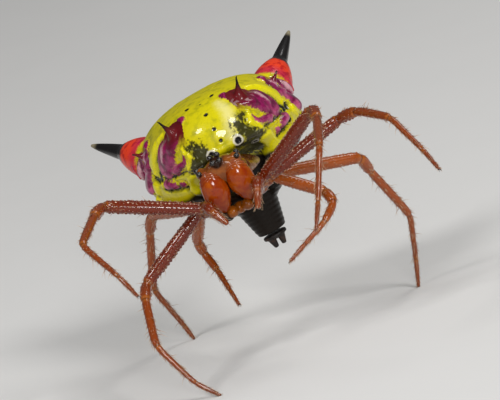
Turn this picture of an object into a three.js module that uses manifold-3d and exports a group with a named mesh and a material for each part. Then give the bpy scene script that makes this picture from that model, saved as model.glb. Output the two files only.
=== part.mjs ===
// A spiny orb weaver spider at life size, as a still model that stands on three of its feet.
// Millimetres, +Z up. The spider faces -Y, so its left side is at +X. The origin is under the middle of its
// bounding box, on the floor.
import * as THREE from "three";
import { mergeVertices } from "three/addons/utils/BufferGeometryUtils.js";
import Module from "manifold-3d";

const wasm = await Module();
wasm.setup();

// Driving sizes of the body, in the body's own frame: x to its left, y backward, z towards its back.
const GAP = 0.05;
const STERNUM = { length: 1.75, width: 1.0, depth: 0.42, y: 0.28, z: -0.5 };
const CHELICERA = { x: 0.37, y: -1.0, z: -0.02, halfWidth: 0.345, halfDepth: 0.38, halfLength: 0.62 };
const EYE_RADIUS = 0.072;
const EYE_SOCKET_GAP = 0.02;
const LEAN = { head: -11.5, abdomen: -14 }; // degrees about y, to the spider's right
const PITCH = -3; // degrees about x, nose up
const SWING = 2.7; // degrees about z, of the abdomen's hind end to the spider's right
const BODY_HEIGHT = 5.05; // of the body frame's origin above the floor

// Stations of the carapace from front to back: y, half width, top and lower edge. It is swung, so that its middle
// moves to the spider's left by this share of the way back.
const CARAPACE_SWING = 0.11;
const CARAPACE = [
  [-1.26, 0.5, 0.82, 0.42],
  [-1.1, 0.6, 0.95, 0.25],
  [-0.75, 0.68, 0.97, 0.12],
  [-0.35, 0.77, 0.9, 0.06],
  [0.1, 0.9, 0.79, 0.04],
  [0.6, 0.96, 0.77, 0.04],
  [1.05, 0.88, 0.64, 0.06],
  [1.4, 0.68, 0.46, 0.1],
  [1.62, 0.4, 0.3, 0.16],
];

// The abdomen's own frame leans further, with its middle plane at x. Its plan at the shoulder is an arrowhead,
// and its walls below follow stations of depth: how far down, front, rear and share of the width.
const ABDOMEN = {
  x: 0.4, frontHalfWidth: 1.5, rearHalfWidth: 2.3, shoulder: 1.05, top: 2.36, bottom: -1.45,
  foldPitch: 0.985, foldStart: 1.09, foldDepth: 0.07,
};
const ABDOMEN_WALLS = [
  [0.0, 0.38, 5.0, 1.0],
  [0.1, 0.44, 5.0, 1.06],
  [0.18, 1.0, 4.95, 1.1],
  [0.28, 1.65, 4.85, 1.11],
  [0.45, 1.95, 4.55, 1.06],
  [0.7, 2.1, 4.15, 0.8],
  [1.0, 2.2, 3.9, 0.6],
];
const CONE = { y: 3.0, top: -0.9, tip: -2.15, rootRadius: 0.72, tipRadius: 0.42 };

const SIDES = { left: 1, right: -1 };

// The lengths of each leg's five shafts, the same on both sides, and how thick that leg is beside the first.
const LEG_SHAFTS = {
  1: { femur: 2.8, patella: 0.9, tibia: 1.9, metatarsus: 1.65, tarsus: 0.85, stout: 1.0 },
  2: { femur: 2.5, patella: 0.8, tibia: 1.6, metatarsus: 1.5, tarsus: 0.85, stout: 0.97 },
  3: { femur: 1.6, patella: 0.5, tibia: 0.75, metatarsus: 0.85, tarsus: 0.65, stout: 0.92 },
  4: { femur: 2.85, patella: 0.75, tibia: 1.95, metatarsus: 1.65, tarsus: 0.8, stout: 0.97 },
};

// Where each coxa starts beside the sternum, where it ends, and where the trochanter ends, in the body frame.
const HIPS = {
  1: [[0.4, -0.42, -0.42], [0.74, -0.7, -0.3], [0.92, -0.84, -0.14]],
  2: [[0.46, -0.06, -0.46], [0.88, -0.16, -0.36], [1.1, -0.22, -0.25]],
  3: [[0.46, 0.34, -0.48], [0.9, 0.38, -0.42], [1.12, 0.4, -0.35]],
  4: [[0.4, 0.76, -0.46], [0.78, 0.9, -0.42], [0.98, 0.98, -0.35]],
};

// How each leg stands, as [turn, rise] of every shaft in degrees. Turn 0 is straight out to the leg's own side and
// 90 is forward, and rise is above the level of the floor. A standing leg's tarsus runs on until it meets the floor.
const STANCE = {
  left_1: { femur: [34, 38], patella: [88, -8], tibia: [95, -12], metatarsus: [117, -52], tarsus: [117, -47] },
  right_1: { femur: [-3, 17], patella: [72, -3], tibia: [75, -10], metatarsus: [122, -31], tarsus: [129, -45] },
  left_2: { femur: [-5, 23], patella: [49, 13], tibia: [60, -6], metatarsus: [60, -38], tarsus: [65, -40] },
  right_2: {
    femur: [8, -37], patella: [81, -20], tibia: [88, -42], metatarsus: [160, -57], tarsus: [171, -40], stands: true,
  },
  left_3: { femur: [17, -29], patella: [71, -33], tibia: [125, -27], metatarsus: [173, -32], tarsus: [173, -33] },
  right_3: {
    femur: [-76, -39], patella: [-110, -60], tibia: [115, -40], metatarsus: [106, -37], tarsus: [104, -32],
  },
  left_4: {
    femur: [-17, -8], patella: [-72, -47], tibia: [-39, -59], metatarsus: [-101, -60], tarsus: [133, -75],
    stands: true,
  },
  right_4: {
    femur: [-58, -5], patella: [-68, -48], tibia: [-61, -66], metatarsus: [-128, -58], tarsus: [154, -66],
    stands: true,
  },
};

// Shaft radii at the near end, the middle and the far end.
const SHAFT_RADII = {
  coxa: [0.16, 0.26, 0.24],
  trochanter: [0.22, 0.25, 0.22],
  femur: [0.21, 0.27, 0.25],
  patella: [0.24, 0.25, 0.23],
  tibia: [0.21, 0.23, 0.22],
  metatarsus: [0.21, 0.21, 0.2],
  tarsus: [0.19, 0.18, 0.11],
};

// The pairs of spines on the abdomen: root and direction in the abdomen's own place, from its middle plane.
const SPINES = {
  front: { root: [1.0, 1.28, 1.68], aim: [0.35, -0.36, 1], length: 0.88, radius: 0.42, flare: 2.6, sunk: 0.3 },
  middle: { root: [1.95, 3.06, 1.4], aim: [0.8, 0, 0.68], length: 0.56, radius: 0.3, flare: 2.0, sunk: 0.3 },
  rear: { root: [2.0, 4.45, 1.25], aim: [0.56, 0.86, 0.4], length: 2.55, radius: 0.56, flare: 1.15, sunk: 0.5 },
};

const COLOURS = {
  carapace: new THREE.MeshStandardMaterial({ color: 0x8a3a10, roughness: 0.3 }),
  chelicera: new THREE.MeshStandardMaterial({ color: 0xa83208, roughness: 0.22 }),
  leg: new THREE.MeshStandardMaterial({ color: 0x8c2a0a, roughness: 0.32 }),
  abdomen: new THREE.MeshStandardMaterial({ color: 0xc8bc08, roughness: 0.25 }),
  dark: new THREE.MeshStandardMaterial({ color: 0x17120e, roughness: 0.35 }),
  eye: new THREE.MeshStandardMaterial({ color: 0x050505, roughness: 0.05 }),
};

const spider = new THREE.Group();

// From the body's own frame to the standing one: it leans to its own right and lifts its head.
function standingTurn(lean, swing) {
  const [x, y, z] = [PITCH, lean, swing].map(THREE.MathUtils.degToRad);
  return new THREE.Matrix4().makeRotationFromEuler(new THREE.Euler(x, y, z, "YXZ")).setPosition(0, 0, BODY_HEIGHT);
}
const headTurn = standingTurn(LEAN.head, 0);
const abdomenTurn = standingTurn(LEAN.abdomen, SWING);

const smooth = (low, high, value) => THREE.MathUtils.smoothstep(value, low, high);

// A closed geometry as a manifold solid.
function toSolid(geometry) {
  const bare = geometry.clone();
  for (const name of Object.keys(bare.attributes)) if (name !== "position") bare.deleteAttribute(name);
  const merged = mergeVertices(bare, 1e-4);
  return new wasm.Manifold(new wasm.Mesh({
    numProp: 3,
    vertProperties: new Float32Array(merged.attributes.position.array),
    triVerts: new Uint32Array(merged.index.array),
  }));
}

// A solid's largest closed body as a geometry.
function toGeometry(solid) {
  const bodies = solid.decompose().sort((a, b) => b.volume() - a.volume());
  const mesh = bodies[0].getMesh();
  return new THREE.BufferGeometry()
    .setAttribute("position", new THREE.BufferAttribute(new Float32Array(mesh.vertProperties), 3))
    .setIndex(new THREE.BufferAttribute(new Uint32Array(mesh.triVerts), 1));
}

function fuse(solids) {
  return solids.reduce((whole, piece) => whole.add(piece));
}

function cutBy(solid, cutters) {
  return cutters.reduce((whole, cutter) => whole.subtract(cutter), solid);
}

function addNode(name, solid, material) {
  const mesh = new THREE.Mesh(toGeometry(solid), material);
  mesh.name = name;
  spider.add(mesh);
}

// A rounded closed form. Its points lie on |x|^a + |y|^b + |z|^c = 1, and then pass through place.
function blob(columns, rows, powers, place) {
  const geometry = new THREE.SphereGeometry(1, columns, rows).rotateX(Math.PI / 2);
  const points = geometry.attributes.position;
  for (let i = 0; i < points.count; i++) {
    const way = new THREE.Vector3().fromBufferAttribute(points, i).toArray();
    let reach = 1;
    for (let step = 0; step < 8; step++) {
      const terms = way.map((value, axis) => Math.abs(value * reach) ** powers[axis]);
      const slope = terms.reduce((sum, term, axis) => sum + (term * powers[axis]) / reach, 0);
      reach -= (terms[0] + terms[1] + terms[2] - 1) / slope;
    }
    const point = new THREE.Vector3(...way).multiplyScalar(reach);
    place(point);
    points.setXYZ(i, point.x, point.y, point.z);
  }
  return geometry;
}

// A table of stations as a function that gives the rest of a row, smoothed, at any value of its first column.
function stationCurve(rows) {
  const width = rows[0].length - 1;
  const keys = rows.map((row) => row[0]);
  const curve = new THREE.CubicInterpolant(keys, rows.flatMap((row) => row.slice(1)), width);
  return (key) => [...curve.evaluate(key)];
}

// A geometry turned so that its own +Y points along aim, with its base at root.
function aimed(geometry, root, aim) {
  const turn = new THREE.Quaternion().setFromUnitVectors(new THREE.Vector3(0, 1, 0), aim.clone().normalize());
  return geometry.applyQuaternion(turn).translate(root.x, root.y, root.z);
}

// A tapered lathe along +Y whose radius falls from radius to a fine tip, hollowed by flare, with its base sunk.
function thorn({ length, radius, flare, sunk }, sides = 10, steps = 6, tipRadius = 0.025) {
  const profile = [new THREE.Vector2(0, -sunk), new THREE.Vector2(radius * 0.8, -sunk)];
  for (let i = 0; i <= steps; i++) {
    const along = i / steps;
    profile.push(new THREE.Vector2(tipRadius + (radius - tipRadius) * (1 - along) ** flare, along * length));
  }
  profile.push(new THREE.Vector2(0, length + tipRadius));
  return new THREE.LatheGeometry(profile, sides);
}

// Three radii as a smooth swell from near end to far end.
function swell([near, middle, far], along) {
  const ends = THREE.MathUtils.lerp(near, far, along);
  return ends + (middle - (near + far) / 2) * Math.sin(Math.PI * along);
}

// Rings of points joined into a closed surface with flat ends. The rings run right-handed about their path.
function ringSurface(position, rings, sides) {
  const index = [];
  const last = (rings - 1) * sides;
  for (let r = 0; r < rings - 1; r++)
    for (let s = 0; s < sides; s++) {
      const a = r * sides + s;
      const b = r * sides + ((s + 1) % sides);
      index.push(a, b, a + sides, b, b + sides, a + sides);
    }
  for (let s = 1; s < sides - 1; s++) {
    index.push(0, s + 1, s);
    index.push(last, last + s, last + s + 1);
  }
  return new THREE.BufferGeometry().setFromPoints(position).setIndex(index);
}

// A jointed limb: a line through the joints with each bend rounded, and how far along it each joint lies.
class Limb {
  constructor(joints, bend = 0.3) {
    this.path = new THREE.CurvePath();
    this.marks = [0];
    let from = joints[0];
    for (let i = 1; i < joints.length - 1; i++) {
      const before = joints[i].clone().sub(joints[i - 1]);
      const after = joints[i + 1].clone().sub(joints[i]);
      const reach = Math.min(bend, before.length() * 0.42, after.length() * 0.42);
      const start = joints[i].clone().addScaledVector(before.normalize(), -reach);
      const end = joints[i].clone().addScaledVector(after.normalize(), reach);
      this.path.add(new THREE.LineCurve3(from, start));
      const bow = new THREE.QuadraticBezierCurve3(start, joints[i], end);
      const sofar = this.path.getLength();
      this.path.add(bow);
      this.marks.push(sofar + bow.getLength() / 2);
      from = end;
    }
    this.path.add(new THREE.LineCurve3(from, joints.at(-1)));
    this.path.updateArcLengths();
    this.length = this.path.getLength();
    this.marks.push(this.length);
  }

  // A closed tube over one stretch of the limb. radiusAt takes 0 to 1 along the stretch. With a floor, the last
  // ring slides along the limb until it lies flat on it.
  tube(start, end, radiusAt, sides, rings, floor = null) {
    const across = new THREE.Vector3();
    const position = [];
    let normal = new THREE.Vector3(0, 0, 1);
    for (let r = 0; r < rings; r++) {
      const along = r / (rings - 1);
      const u = THREE.MathUtils.clamp((start + (end - start) * along) / this.length, 0, 1);
      const centre = this.path.getPointAt(u);
      const tangent = this.path.getTangentAt(u);
      if (r === 0 && Math.abs(tangent.z) > 0.9) normal.set(1, 0, 0);
      normal = normal.addScaledVector(tangent, -normal.dot(tangent)).normalize();
      const other = tangent.clone().cross(normal);
      for (let s = 0; s < sides; s++) {
        const angle = (2 * Math.PI * s) / sides;
        across.copy(normal).multiplyScalar(Math.cos(angle)).addScaledVector(other, Math.sin(angle));
        const point = centre.clone().addScaledVector(across, radiusAt(along));
        if (floor !== null && r === rings - 1) point.addScaledVector(tangent, (floor - point.z) / tangent.z);
        position.push(point);
      }
    }
    return ringSurface(position, rings, sides);
  }
}

// The joints of one leg, from the coxa's root to the tip, in the standing frame.
function legJoints(side, order) {
  const stance = STANCE[`${side}_${order}`];
  const shafts = LEG_SHAFTS[order];
  const joints = HIPS[order].map(([x, y, z]) => new THREE.Vector3(SIDES[side] * x, y, z).applyMatrix4(headTurn));
  for (const shaft of ["femur", "patella", "tibia", "metatarsus", "tarsus"]) {
    const [turn, rise] = stance[shaft].map(THREE.MathUtils.degToRad);
    const way = new THREE.Vector3(
      SIDES[side] * Math.cos(rise) * Math.cos(turn),
      -Math.cos(rise) * Math.sin(turn),
      Math.sin(rise),
    );
    const from = joints.at(-1);
    const reach = shaft === "tarsus" && stance.stands ? -from.z / way.z : shafts[shaft];
    joints.push(from.clone().addScaledVector(way, reach));
  }
  return joints;
}

// A leg's five pieces as solids, and the same hip grown by the gap to cut its neighbours with.
function legPieces(side, order) {
  const limb = new Limb(legJoints(side, order));
  const stout = LEG_SHAFTS[order].stout;
  const stands = STANCE[`${side}_${order}`].stands ?? false;
  const [, coxaEnd, hip, knee, shin, ankle, heel, tip] = limb.marks;
  const piece = (start, end, radiusAt, sides, rings, floor) =>
    toSolid(limb.tube(start + GAP / 2, end - (end === tip ? 0 : GAP / 2), radiusAt, sides, rings, floor));
  const radius = (shaft) => (along) => stout * swell(SHAFT_RADII[shaft], along);
  const jointed = (near, far, share) => (along) =>
    along < share ? radius(near)(along / share) : radius(far)((along - share) / (1 - share));
  const hipRadius = jointed("coxa", "trochanter", coxaEnd / hip);
  const footRadius = jointed("metatarsus", "tarsus", (heel - ankle) / (tip - ankle));
  return {
    hip: piece(0, hip, hipRadius, 10, 8),
    hipGrown: toSolid(limb.tube(0, hip + GAP, (along) => hipRadius(along) + GAP, 10, 8)),
    femur: piece(hip, knee, radius("femur"), 10, 9),
    patella: piece(knee, shin, radius("patella"), 8, 6),
    tibia: piece(shin, ankle, radius("tibia"), 8, 6),
    foot: piece(ankle, tip, footRadius, 8, 10, stands ? 0 : null),
  };
}

// The head and thorax as one shield: rings of a rounded section, lofted from front to back.
function carapaceForm(grow = 0) {
  const rings = 13;
  const sides = 18;
  const curve = stationCurve(CARAPACE);
  const [first, last] = [CARAPACE[0][0], CARAPACE.at(-1)[0]];
  const position = [];
  for (let r = 0; r < rings; r++) {
    const along = r / (rings - 1);
    const y = THREE.MathUtils.lerp(first, last, along);
    const [halfWidth, top, edge] = curve(y);
    const shoulder = edge + 0.1;
    for (let s = 0; s < sides; s++) {
      const angle = (2 * Math.PI * s) / sides;
      const across = -Math.sign(Math.cos(angle)) * Math.abs(Math.cos(angle)) ** 0.8;
      const up = Math.abs(Math.sin(angle)) ** 0.8;
      const z = Math.sin(angle) > 0 ? shoulder + up * (top + grow - shoulder) : shoulder - up * (0.1 + grow);
      const x = CARAPACE_SWING * (y - first) + across * (halfWidth + grow);
      position.push(new THREE.Vector3(x, y + grow * (2 * along - 1), z));
    }
  }
  return toSolid(ringSurface(position, rings, sides));
}

// A chelicera's stout base, rounded in front and slimmer at its lower end.
function cheliceraForm(side, grow = 0) {
  const { x, y, z, halfWidth, halfDepth, halfLength } = CHELICERA;
  return toSolid(blob(12, 10, [2.2, 2.2, 2.2], (p) => {
    const slim = 1 - 0.34 * smooth(-0.1, 1, -p.z);
    p.x = side * x + p.x * (halfWidth * slim + grow);
    p.y = y + p.y * (halfDepth * slim + grow) - 0.1 * p.z;
    p.z = z + p.z * (halfLength + grow);
  }));
}

function fangForm(side) {
  const { x, y, z, halfLength } = CHELICERA;
  const low = z - halfLength;
  const joints = [[x + 0.14, y - 0.02, low + 0.06], [x + 0.05, y + 0.1, low - 0.14], [x - 0.17, y + 0.24, low - 0.12]];
  const limb = new Limb(joints.map(([px, py, pz]) => new THREE.Vector3(side * px, py, pz)), 0.12);
  return toSolid(limb.tube(0, limb.length, (along) => 0.11 * (1 - along) ** 0.8 + 0.025, 8, 8));
}

// A palp: a short jointed feeler beside each chelicera.
function palpForm(side) {
  const joints = [
    [0.62, -0.72, -0.42], [0.8, -1.3, -0.12], [0.78, -1.62, -0.02], [0.68, -1.86, -0.22], [0.46, -1.98, -0.68],
  ];
  const limb = new Limb(joints.map(([x, y, z]) => new THREE.Vector3(side * x, y, z)), 0.15);
  const radii = [0.2, 0.21, 0.1];
  return toSolid(limb.tube(0, limb.length, (along) => swell(radii, along), 8, 16));
}

// The eight eyes: four on the black knob in the middle of the head, and two at each corner.
const EYES = {
  front_middle: [0.095, -1.34, 0.94],
  rear_middle: [0.105, -1.17, 1.08],
  front_side: [0.57, -1.13, 0.8],
  rear_side: [0.6, -1.0, 0.88],
};

function eyeForm(side, [x, y, z], grow = 0) {
  return toSolid(new THREE.SphereGeometry(EYE_RADIUS + grow, 8, 6).translate(side * x, y, z));
}

// The raised knobs that the eyes sit on.
function eyeKnobs() {
  const knob = (x, y, z, rx, ry, rz) =>
    toSolid(new THREE.SphereGeometry(1, 10, 6).scale(rx, ry, rz).translate(x, y, z));
  return fuse([
    knob(0, -1.14, 0.9, 0.24, 0.24, 0.21),
    knob(-0.52, -0.98, 0.76, 0.16, 0.2, 0.17),
    knob(0.52, -0.98, 0.76, 0.16, 0.2, 0.17),
  ]);
}

// The abdomen's main form: an arrowhead from above, broad behind, whose walls draw in below to meet the cone.
// Upright folds run down its sides.
function abdomenForm(grow = 0) {
  const { x, frontHalfWidth, rearHalfWidth, shoulder, top, bottom, foldPitch, foldStart, foldDepth } = ABDOMEN;
  const walls = stationCurve(ABDOMEN_WALLS);
  return toSolid(blob(54, 22, [2.4, 3.0, 2.4], (p) => {
    const below = Math.max(0, -p.z);
    const [front, rear, share] = walls(below);
    const arch = (front - ABDOMEN_WALLS[0][1]) * 0.6 * smooth(0.3, 0.8, Math.abs(p.x));
    const y = THREE.MathUtils.lerp(front - arch, rear, (1 + p.y) / 2);
    const broad = share * THREE.MathUtils.lerp(frontHalfWidth, rearHalfWidth, smooth(-1, 0.5, p.y));
    const wave = 0.5 - 0.5 * Math.cos((2 * Math.PI * (y - foldStart)) / foldPitch);
    const fold = foldDepth * wave * smooth(0.4, 0.85, Math.abs(p.x)) * smooth(-0.7, -0.2, p.z) * smooth(-0.9, -0.5, p.y);
    p.x = x + p.x * (broad - fold + grow);
    p.y = y + grow * p.y;
    p.z = shoulder + (p.z > 0 ? p.z * (top - shoulder) : p.z * (shoulder - bottom + grow));
  }));
}

// The cone below that carries the spinnerets.
function coneForm() {
  const { y, top, tip, rootRadius, tipRadius } = CONE;
  const profile = [
    new THREE.Vector2(0, tip),
    new THREE.Vector2(tipRadius, tip),
    new THREE.Vector2(tipRadius + 0.03, tip + 0.12),
    new THREE.Vector2(THREE.MathUtils.lerp(tipRadius, rootRadius, 0.45), (tip + top) / 2),
    new THREE.Vector2(rootRadius, top),
    new THREE.Vector2(0, top),
  ];
  return toSolid(new THREE.LatheGeometry(profile, 20).rotateX(Math.PI / 2).translate(ABDOMEN.x, y, 0));
}

function spineForms() {
  const forms = [];
  for (const spine of Object.values(SPINES)) {
    const [x, y, z] = spine.root;
    for (const side of Object.values(SIDES)) {
      const aim = new THREE.Vector3(side * spine.aim[0], spine.aim[1], spine.aim[2]);
      const root = new THREE.Vector3(ABDOMEN.x + side * x, y, z);
      forms.push(toSolid(aimed(thorn(spine), root, aim)));
    }
  }
  return forms;
}

// Three pairs of spinnerets and the small tubercle behind them, on one round plate.
function spinneretForms() {
  const level = CONE.tip - GAP;
  const centre = new THREE.Vector3(ABDOMEN.x, CONE.y, level);
  const plate = new THREE.CylinderGeometry(0.4, 0.34, 0.14, 16).rotateX(Math.PI / 2)
    .translate(centre.x, centre.y, level - 0.07);
  const nozzle = (x, y, lean, length, radius) => toSolid(aimed(
    new THREE.CylinderGeometry(radius * 0.45, radius, length, 8).translate(0, length / 2, 0),
    centre.clone().add(new THREE.Vector3(x, y, -0.1)),
    new THREE.Vector3(-x * lean, -y * lean, -1),
  ));
  const forms = [toSolid(plate)];
  for (const side of Object.values(SIDES)) {
    forms.push(nozzle(side * 0.15, -0.15, 0.7, 0.36, 0.14));
    forms.push(nozzle(side * 0.08, 0.02, 0.2, 0.24, 0.07));
    forms.push(nozzle(side * 0.15, 0.14, 0.7, 0.32, 0.12));
  }
  forms.push(nozzle(0, 0.27, 0.2, 0.2, 0.09));
  return forms;
}

function sternumForm() {
  const { length, width, depth, y, z } = STERNUM;
  return toSolid(blob(16, 8, [2.6, 2.6, 2.6], (p) => {
    p.x *= (width / 2) * (1 - 0.45 * smooth(-0.1, 1, p.y));
    p.y = y + (p.y * length) / 2;
    p.z = z + (p.z * depth) / 2;
  }));
}

// The lip and the two mouth plates in front of the sternum, as one piece.
function mouthForm() {
  const plate = (x, y, rx, ry) => toSolid(
    new THREE.SphereGeometry(1, 10, 6).scale(rx, ry, 0.17).translate(x, y, -0.58),
  );
  return fuse([plate(0, -0.74, 0.2, 0.16), plate(-0.24, -0.86, 0.2, 0.26), plate(0.24, -0.86, 0.2, 0.26)]);
}

const standing = (solid, turn = headTurn) => solid.transform(turn.elements.slice());

const chelicerae = Object.values(SIDES).map((side) => cheliceraForm(side, GAP));
const standingChelicerae = chelicerae.map((solid) => standing(solid));
const legs = {};
const hipCutters = [];
for (const side of Object.keys(SIDES))
  for (const order of Object.keys(LEG_SHAFTS)) {
    const pieces = legPieces(side, order);
    pieces.hip = cutBy(pieces.hip, [...hipCutters, ...standingChelicerae]);
    hipCutters.push(pieces.hipGrown);
    legs[`${side}_${order}`] = pieces;
  }

const sockets = Object.values(SIDES).flatMap((side) =>
  Object.values(EYES).map((place) => eyeForm(side, place, EYE_SOCKET_GAP)));
const carapace = cutBy(carapaceForm().add(eyeKnobs()), [...chelicerae, ...sockets]);
addNode("carapace", cutBy(standing(carapace), hipCutters), COLOURS.carapace);
addNode("sternum", cutBy(standing(sternumForm()), hipCutters), COLOURS.dark);
const mouth = cutBy(mouthForm(), chelicerae);
addNode("mouthparts", standing(mouth), COLOURS.carapace);

for (const [name, side] of Object.entries(SIDES)) {
  addNode(`chelicera_${name}`, standing(cheliceraForm(side)), COLOURS.chelicera);
  addNode(`fang_${name}`, standing(cutBy(fangForm(side), [...chelicerae, mouth])), COLOURS.dark);
  addNode(`palp_${name}`, cutBy(standing(palpForm(side)), [...hipCutters, ...standingChelicerae]), COLOURS.leg);
  for (const [place, at] of Object.entries(EYES))
    addNode(`eye_${place}_${name}`, standing(eyeForm(side, at)), COLOURS.eye);
}

const grownCarapace = standing(carapaceForm(GAP));
const grownAbdomen = standing(abdomenForm(GAP), abdomenTurn);
const pedicel = standing(toSolid(new THREE.CylinderGeometry(0.22, 0.18, 0.9, 12).translate(0.34, 1.78, 0.28)));
const abdomen = standing(fuse([abdomenForm(), coneForm(), ...spineForms()]), abdomenTurn);
addNode("abdomen", cutBy(abdomen, [grownCarapace]), COLOURS.abdomen);
addNode("pedicel", cutBy(pedicel, [grownCarapace, grownAbdomen]), COLOURS.dark);
addNode("spinnerets", standing(fuse(spinneretForms()), abdomenTurn), COLOURS.dark);

for (const [name, pieces] of Object.entries(legs))
  for (const piece of ["hip", "femur", "patella", "tibia", "foot"])
    addNode(`${piece}_${name}`, pieces[piece], COLOURS.leg);

// The origin goes under the middle of the whole spider's box.
const box = new THREE.Box3().setFromObject(spider);
const middle = box.getCenter(new THREE.Vector3());
for (const mesh of spider.children) mesh.position.set(-middle.x, -middle.y, -box.min.z);

export default spider;
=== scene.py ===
"""A spiny orb weaver at life size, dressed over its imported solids, with its studio and camera.

Shapes are made in millimetres in the frame of the body part that they belong to, and put in their place
in metres at the end. The spider faces -Y, its left side is at +X and the floor is at z = 0.
"""

import logging
import math
from dataclasses import dataclass, field
from enum import Enum
from typing import Callable

import bpy
import numpy as np
from mathutils import Matrix, Vector


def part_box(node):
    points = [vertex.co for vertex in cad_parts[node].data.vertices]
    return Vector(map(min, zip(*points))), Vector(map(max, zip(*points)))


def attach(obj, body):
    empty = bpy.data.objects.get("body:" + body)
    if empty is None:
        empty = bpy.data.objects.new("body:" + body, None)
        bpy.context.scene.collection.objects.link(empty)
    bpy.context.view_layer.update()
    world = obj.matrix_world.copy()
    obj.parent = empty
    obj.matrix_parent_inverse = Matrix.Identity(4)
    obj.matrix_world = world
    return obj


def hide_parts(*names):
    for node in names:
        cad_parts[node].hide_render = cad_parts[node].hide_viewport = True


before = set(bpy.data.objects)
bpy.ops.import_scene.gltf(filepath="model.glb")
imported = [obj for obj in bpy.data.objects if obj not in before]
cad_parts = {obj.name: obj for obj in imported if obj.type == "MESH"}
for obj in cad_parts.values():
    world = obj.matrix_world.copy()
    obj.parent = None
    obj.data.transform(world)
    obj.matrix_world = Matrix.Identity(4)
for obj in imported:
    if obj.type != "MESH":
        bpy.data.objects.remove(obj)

MM = 0.001
Piece = bpy.types.Object
Array = np.ndarray
Colour = tuple[float, float, float]
Point = tuple[float, float, float]
Station = tuple[float, float, float, float]
Profile = Callable[[Array], Array]
Form = Callable[[Array, Array], tuple[Array, dict[str, Array]]]
log = logging.getLogger("spider")


class Side(Enum):
    """One of the spider's own two sides, with the sign of x there."""

    LEFT = 1
    RIGHT = -1

    @property
    def word(self) -> str:
        """The side's name as it stands in the names of pieces."""
        return self.name.lower()

    def flip(self, point: Point) -> Point:
        """A place that is given for the left, on this side."""
        return (point[0] * self.value, point[1], point[2])


class Slot(Enum):
    """The kinds of finish, by name."""

    ABDOMEN = "abdomen"
    CARAPACE = "carapace"
    CHELICERA = "chelicera"
    LEG = "leg"
    DARK = "dark"
    EYE = "eye"


def smooth(low: float, high: float, value: Array) -> Array:
    """A smooth rise from 0 at low to 1 at high.

    Args:
        low: Where the rise starts.
        high: Where it ends.
        value: The values to weigh.

    Returns:
        A weight for each value.
    """
    share = np.clip((value - low) / (high - low), 0, 1)
    return share * share * (3 - 2 * share)


def blend(a: Array, b: Array, share: Array) -> Array:
    """A value between a and b."""
    return a + (b - a) * share


def swell(radii: Point, along: Array) -> Array:
    """Near, middle and far radii as one smooth swell.

    Args:
        radii: The three radii.
        along: Places from 0 at the near end to 1 at the far end.

    Returns:
        The radius at each place.
    """
    near, middle, far = radii
    return blend(near, far, along) + (middle - (near + far) / 2) * np.sin(np.pi * along)


def hump(value: Array, middle: float, width: float) -> Array:
    """A round hump, 1 at its middle and 0 well clear of it."""
    return np.exp(-(((value - middle) / width) ** 2))


def unit(ways: Array) -> Array:
    """The same directions, one a row, each one long."""
    return ways / np.linalg.norm(ways, axis=1, keepdims=True)


def spokes(angle: Array, uppers: Array, sides: Array) -> Array:
    """The directions at angles round a limb, from its upper towards its side directions."""
    return np.cos(angle)[:, None] * uppers + np.sin(angle)[:, None] * sides


def station_curve(rows: list[tuple[float, ...]], keys: Array) -> Array:
    """Reads a table of stations with a smooth curve through every column.

    Args:
        rows: The stations, each with its key first, in rising order.
        keys: The keys to read at.

    Returns:
        One row for each key, with the table's other columns.
    """
    table = np.array(rows)
    places, values = table[:, 0], table[:, 1:]
    last = len(places) - 1
    right = np.clip(np.searchsorted(places, keys, side="right"), 1, last)
    left = right - 1
    before = np.where(left > 0, left - 1, right)
    after = np.where(right < last, right + 1, left)
    span = places[right] - places[left]
    pull_before = (span / 2 / (places[left] - places[before]))[:, None]
    pull_after = (span / 2 / (places[after] - places[right]))[:, None]
    p = ((np.clip(keys, places[0], places[-1]) - places[left]) / span)[:, None]
    shares = (
        (-pull_before * p**3 + 2 * pull_before * p**2 - pull_before * p, before),
        ((1 + pull_before) * p**3 - (1.5 + 2 * pull_before) * p**2 + (pull_before - 0.5) * p + 1, left),
        ((-1 - pull_after) * p**3 + (1.5 + pull_after) * p**2 + 0.5 * p, right),
        (pull_after * p**3 - pull_after * p**2, after),
    )
    return sum(share * values[index] for share, index in shares)


def square_off(ways: Array, powers: Point, rounds: int = 8) -> Array:
    """Moves points of a ball onto the rounded box |x|^a + |y|^b + |z|^c = 1.

    Args:
        ways: Points of a ball, one a row.
        powers: The powers a, b and c.
        rounds: How often the answer is bettered.

    Returns:
        The moved points.
    """
    power = np.array(powers)
    reach = np.ones((len(ways), 1))
    for _ in range(rounds):
        terms = np.abs(ways * reach) ** power
        slope = (terms * power).sum(axis=1, keepdims=True) / reach
        reach = reach - (terms.sum(axis=1, keepdims=True) - 1) / slope
    return ways * reach


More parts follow.
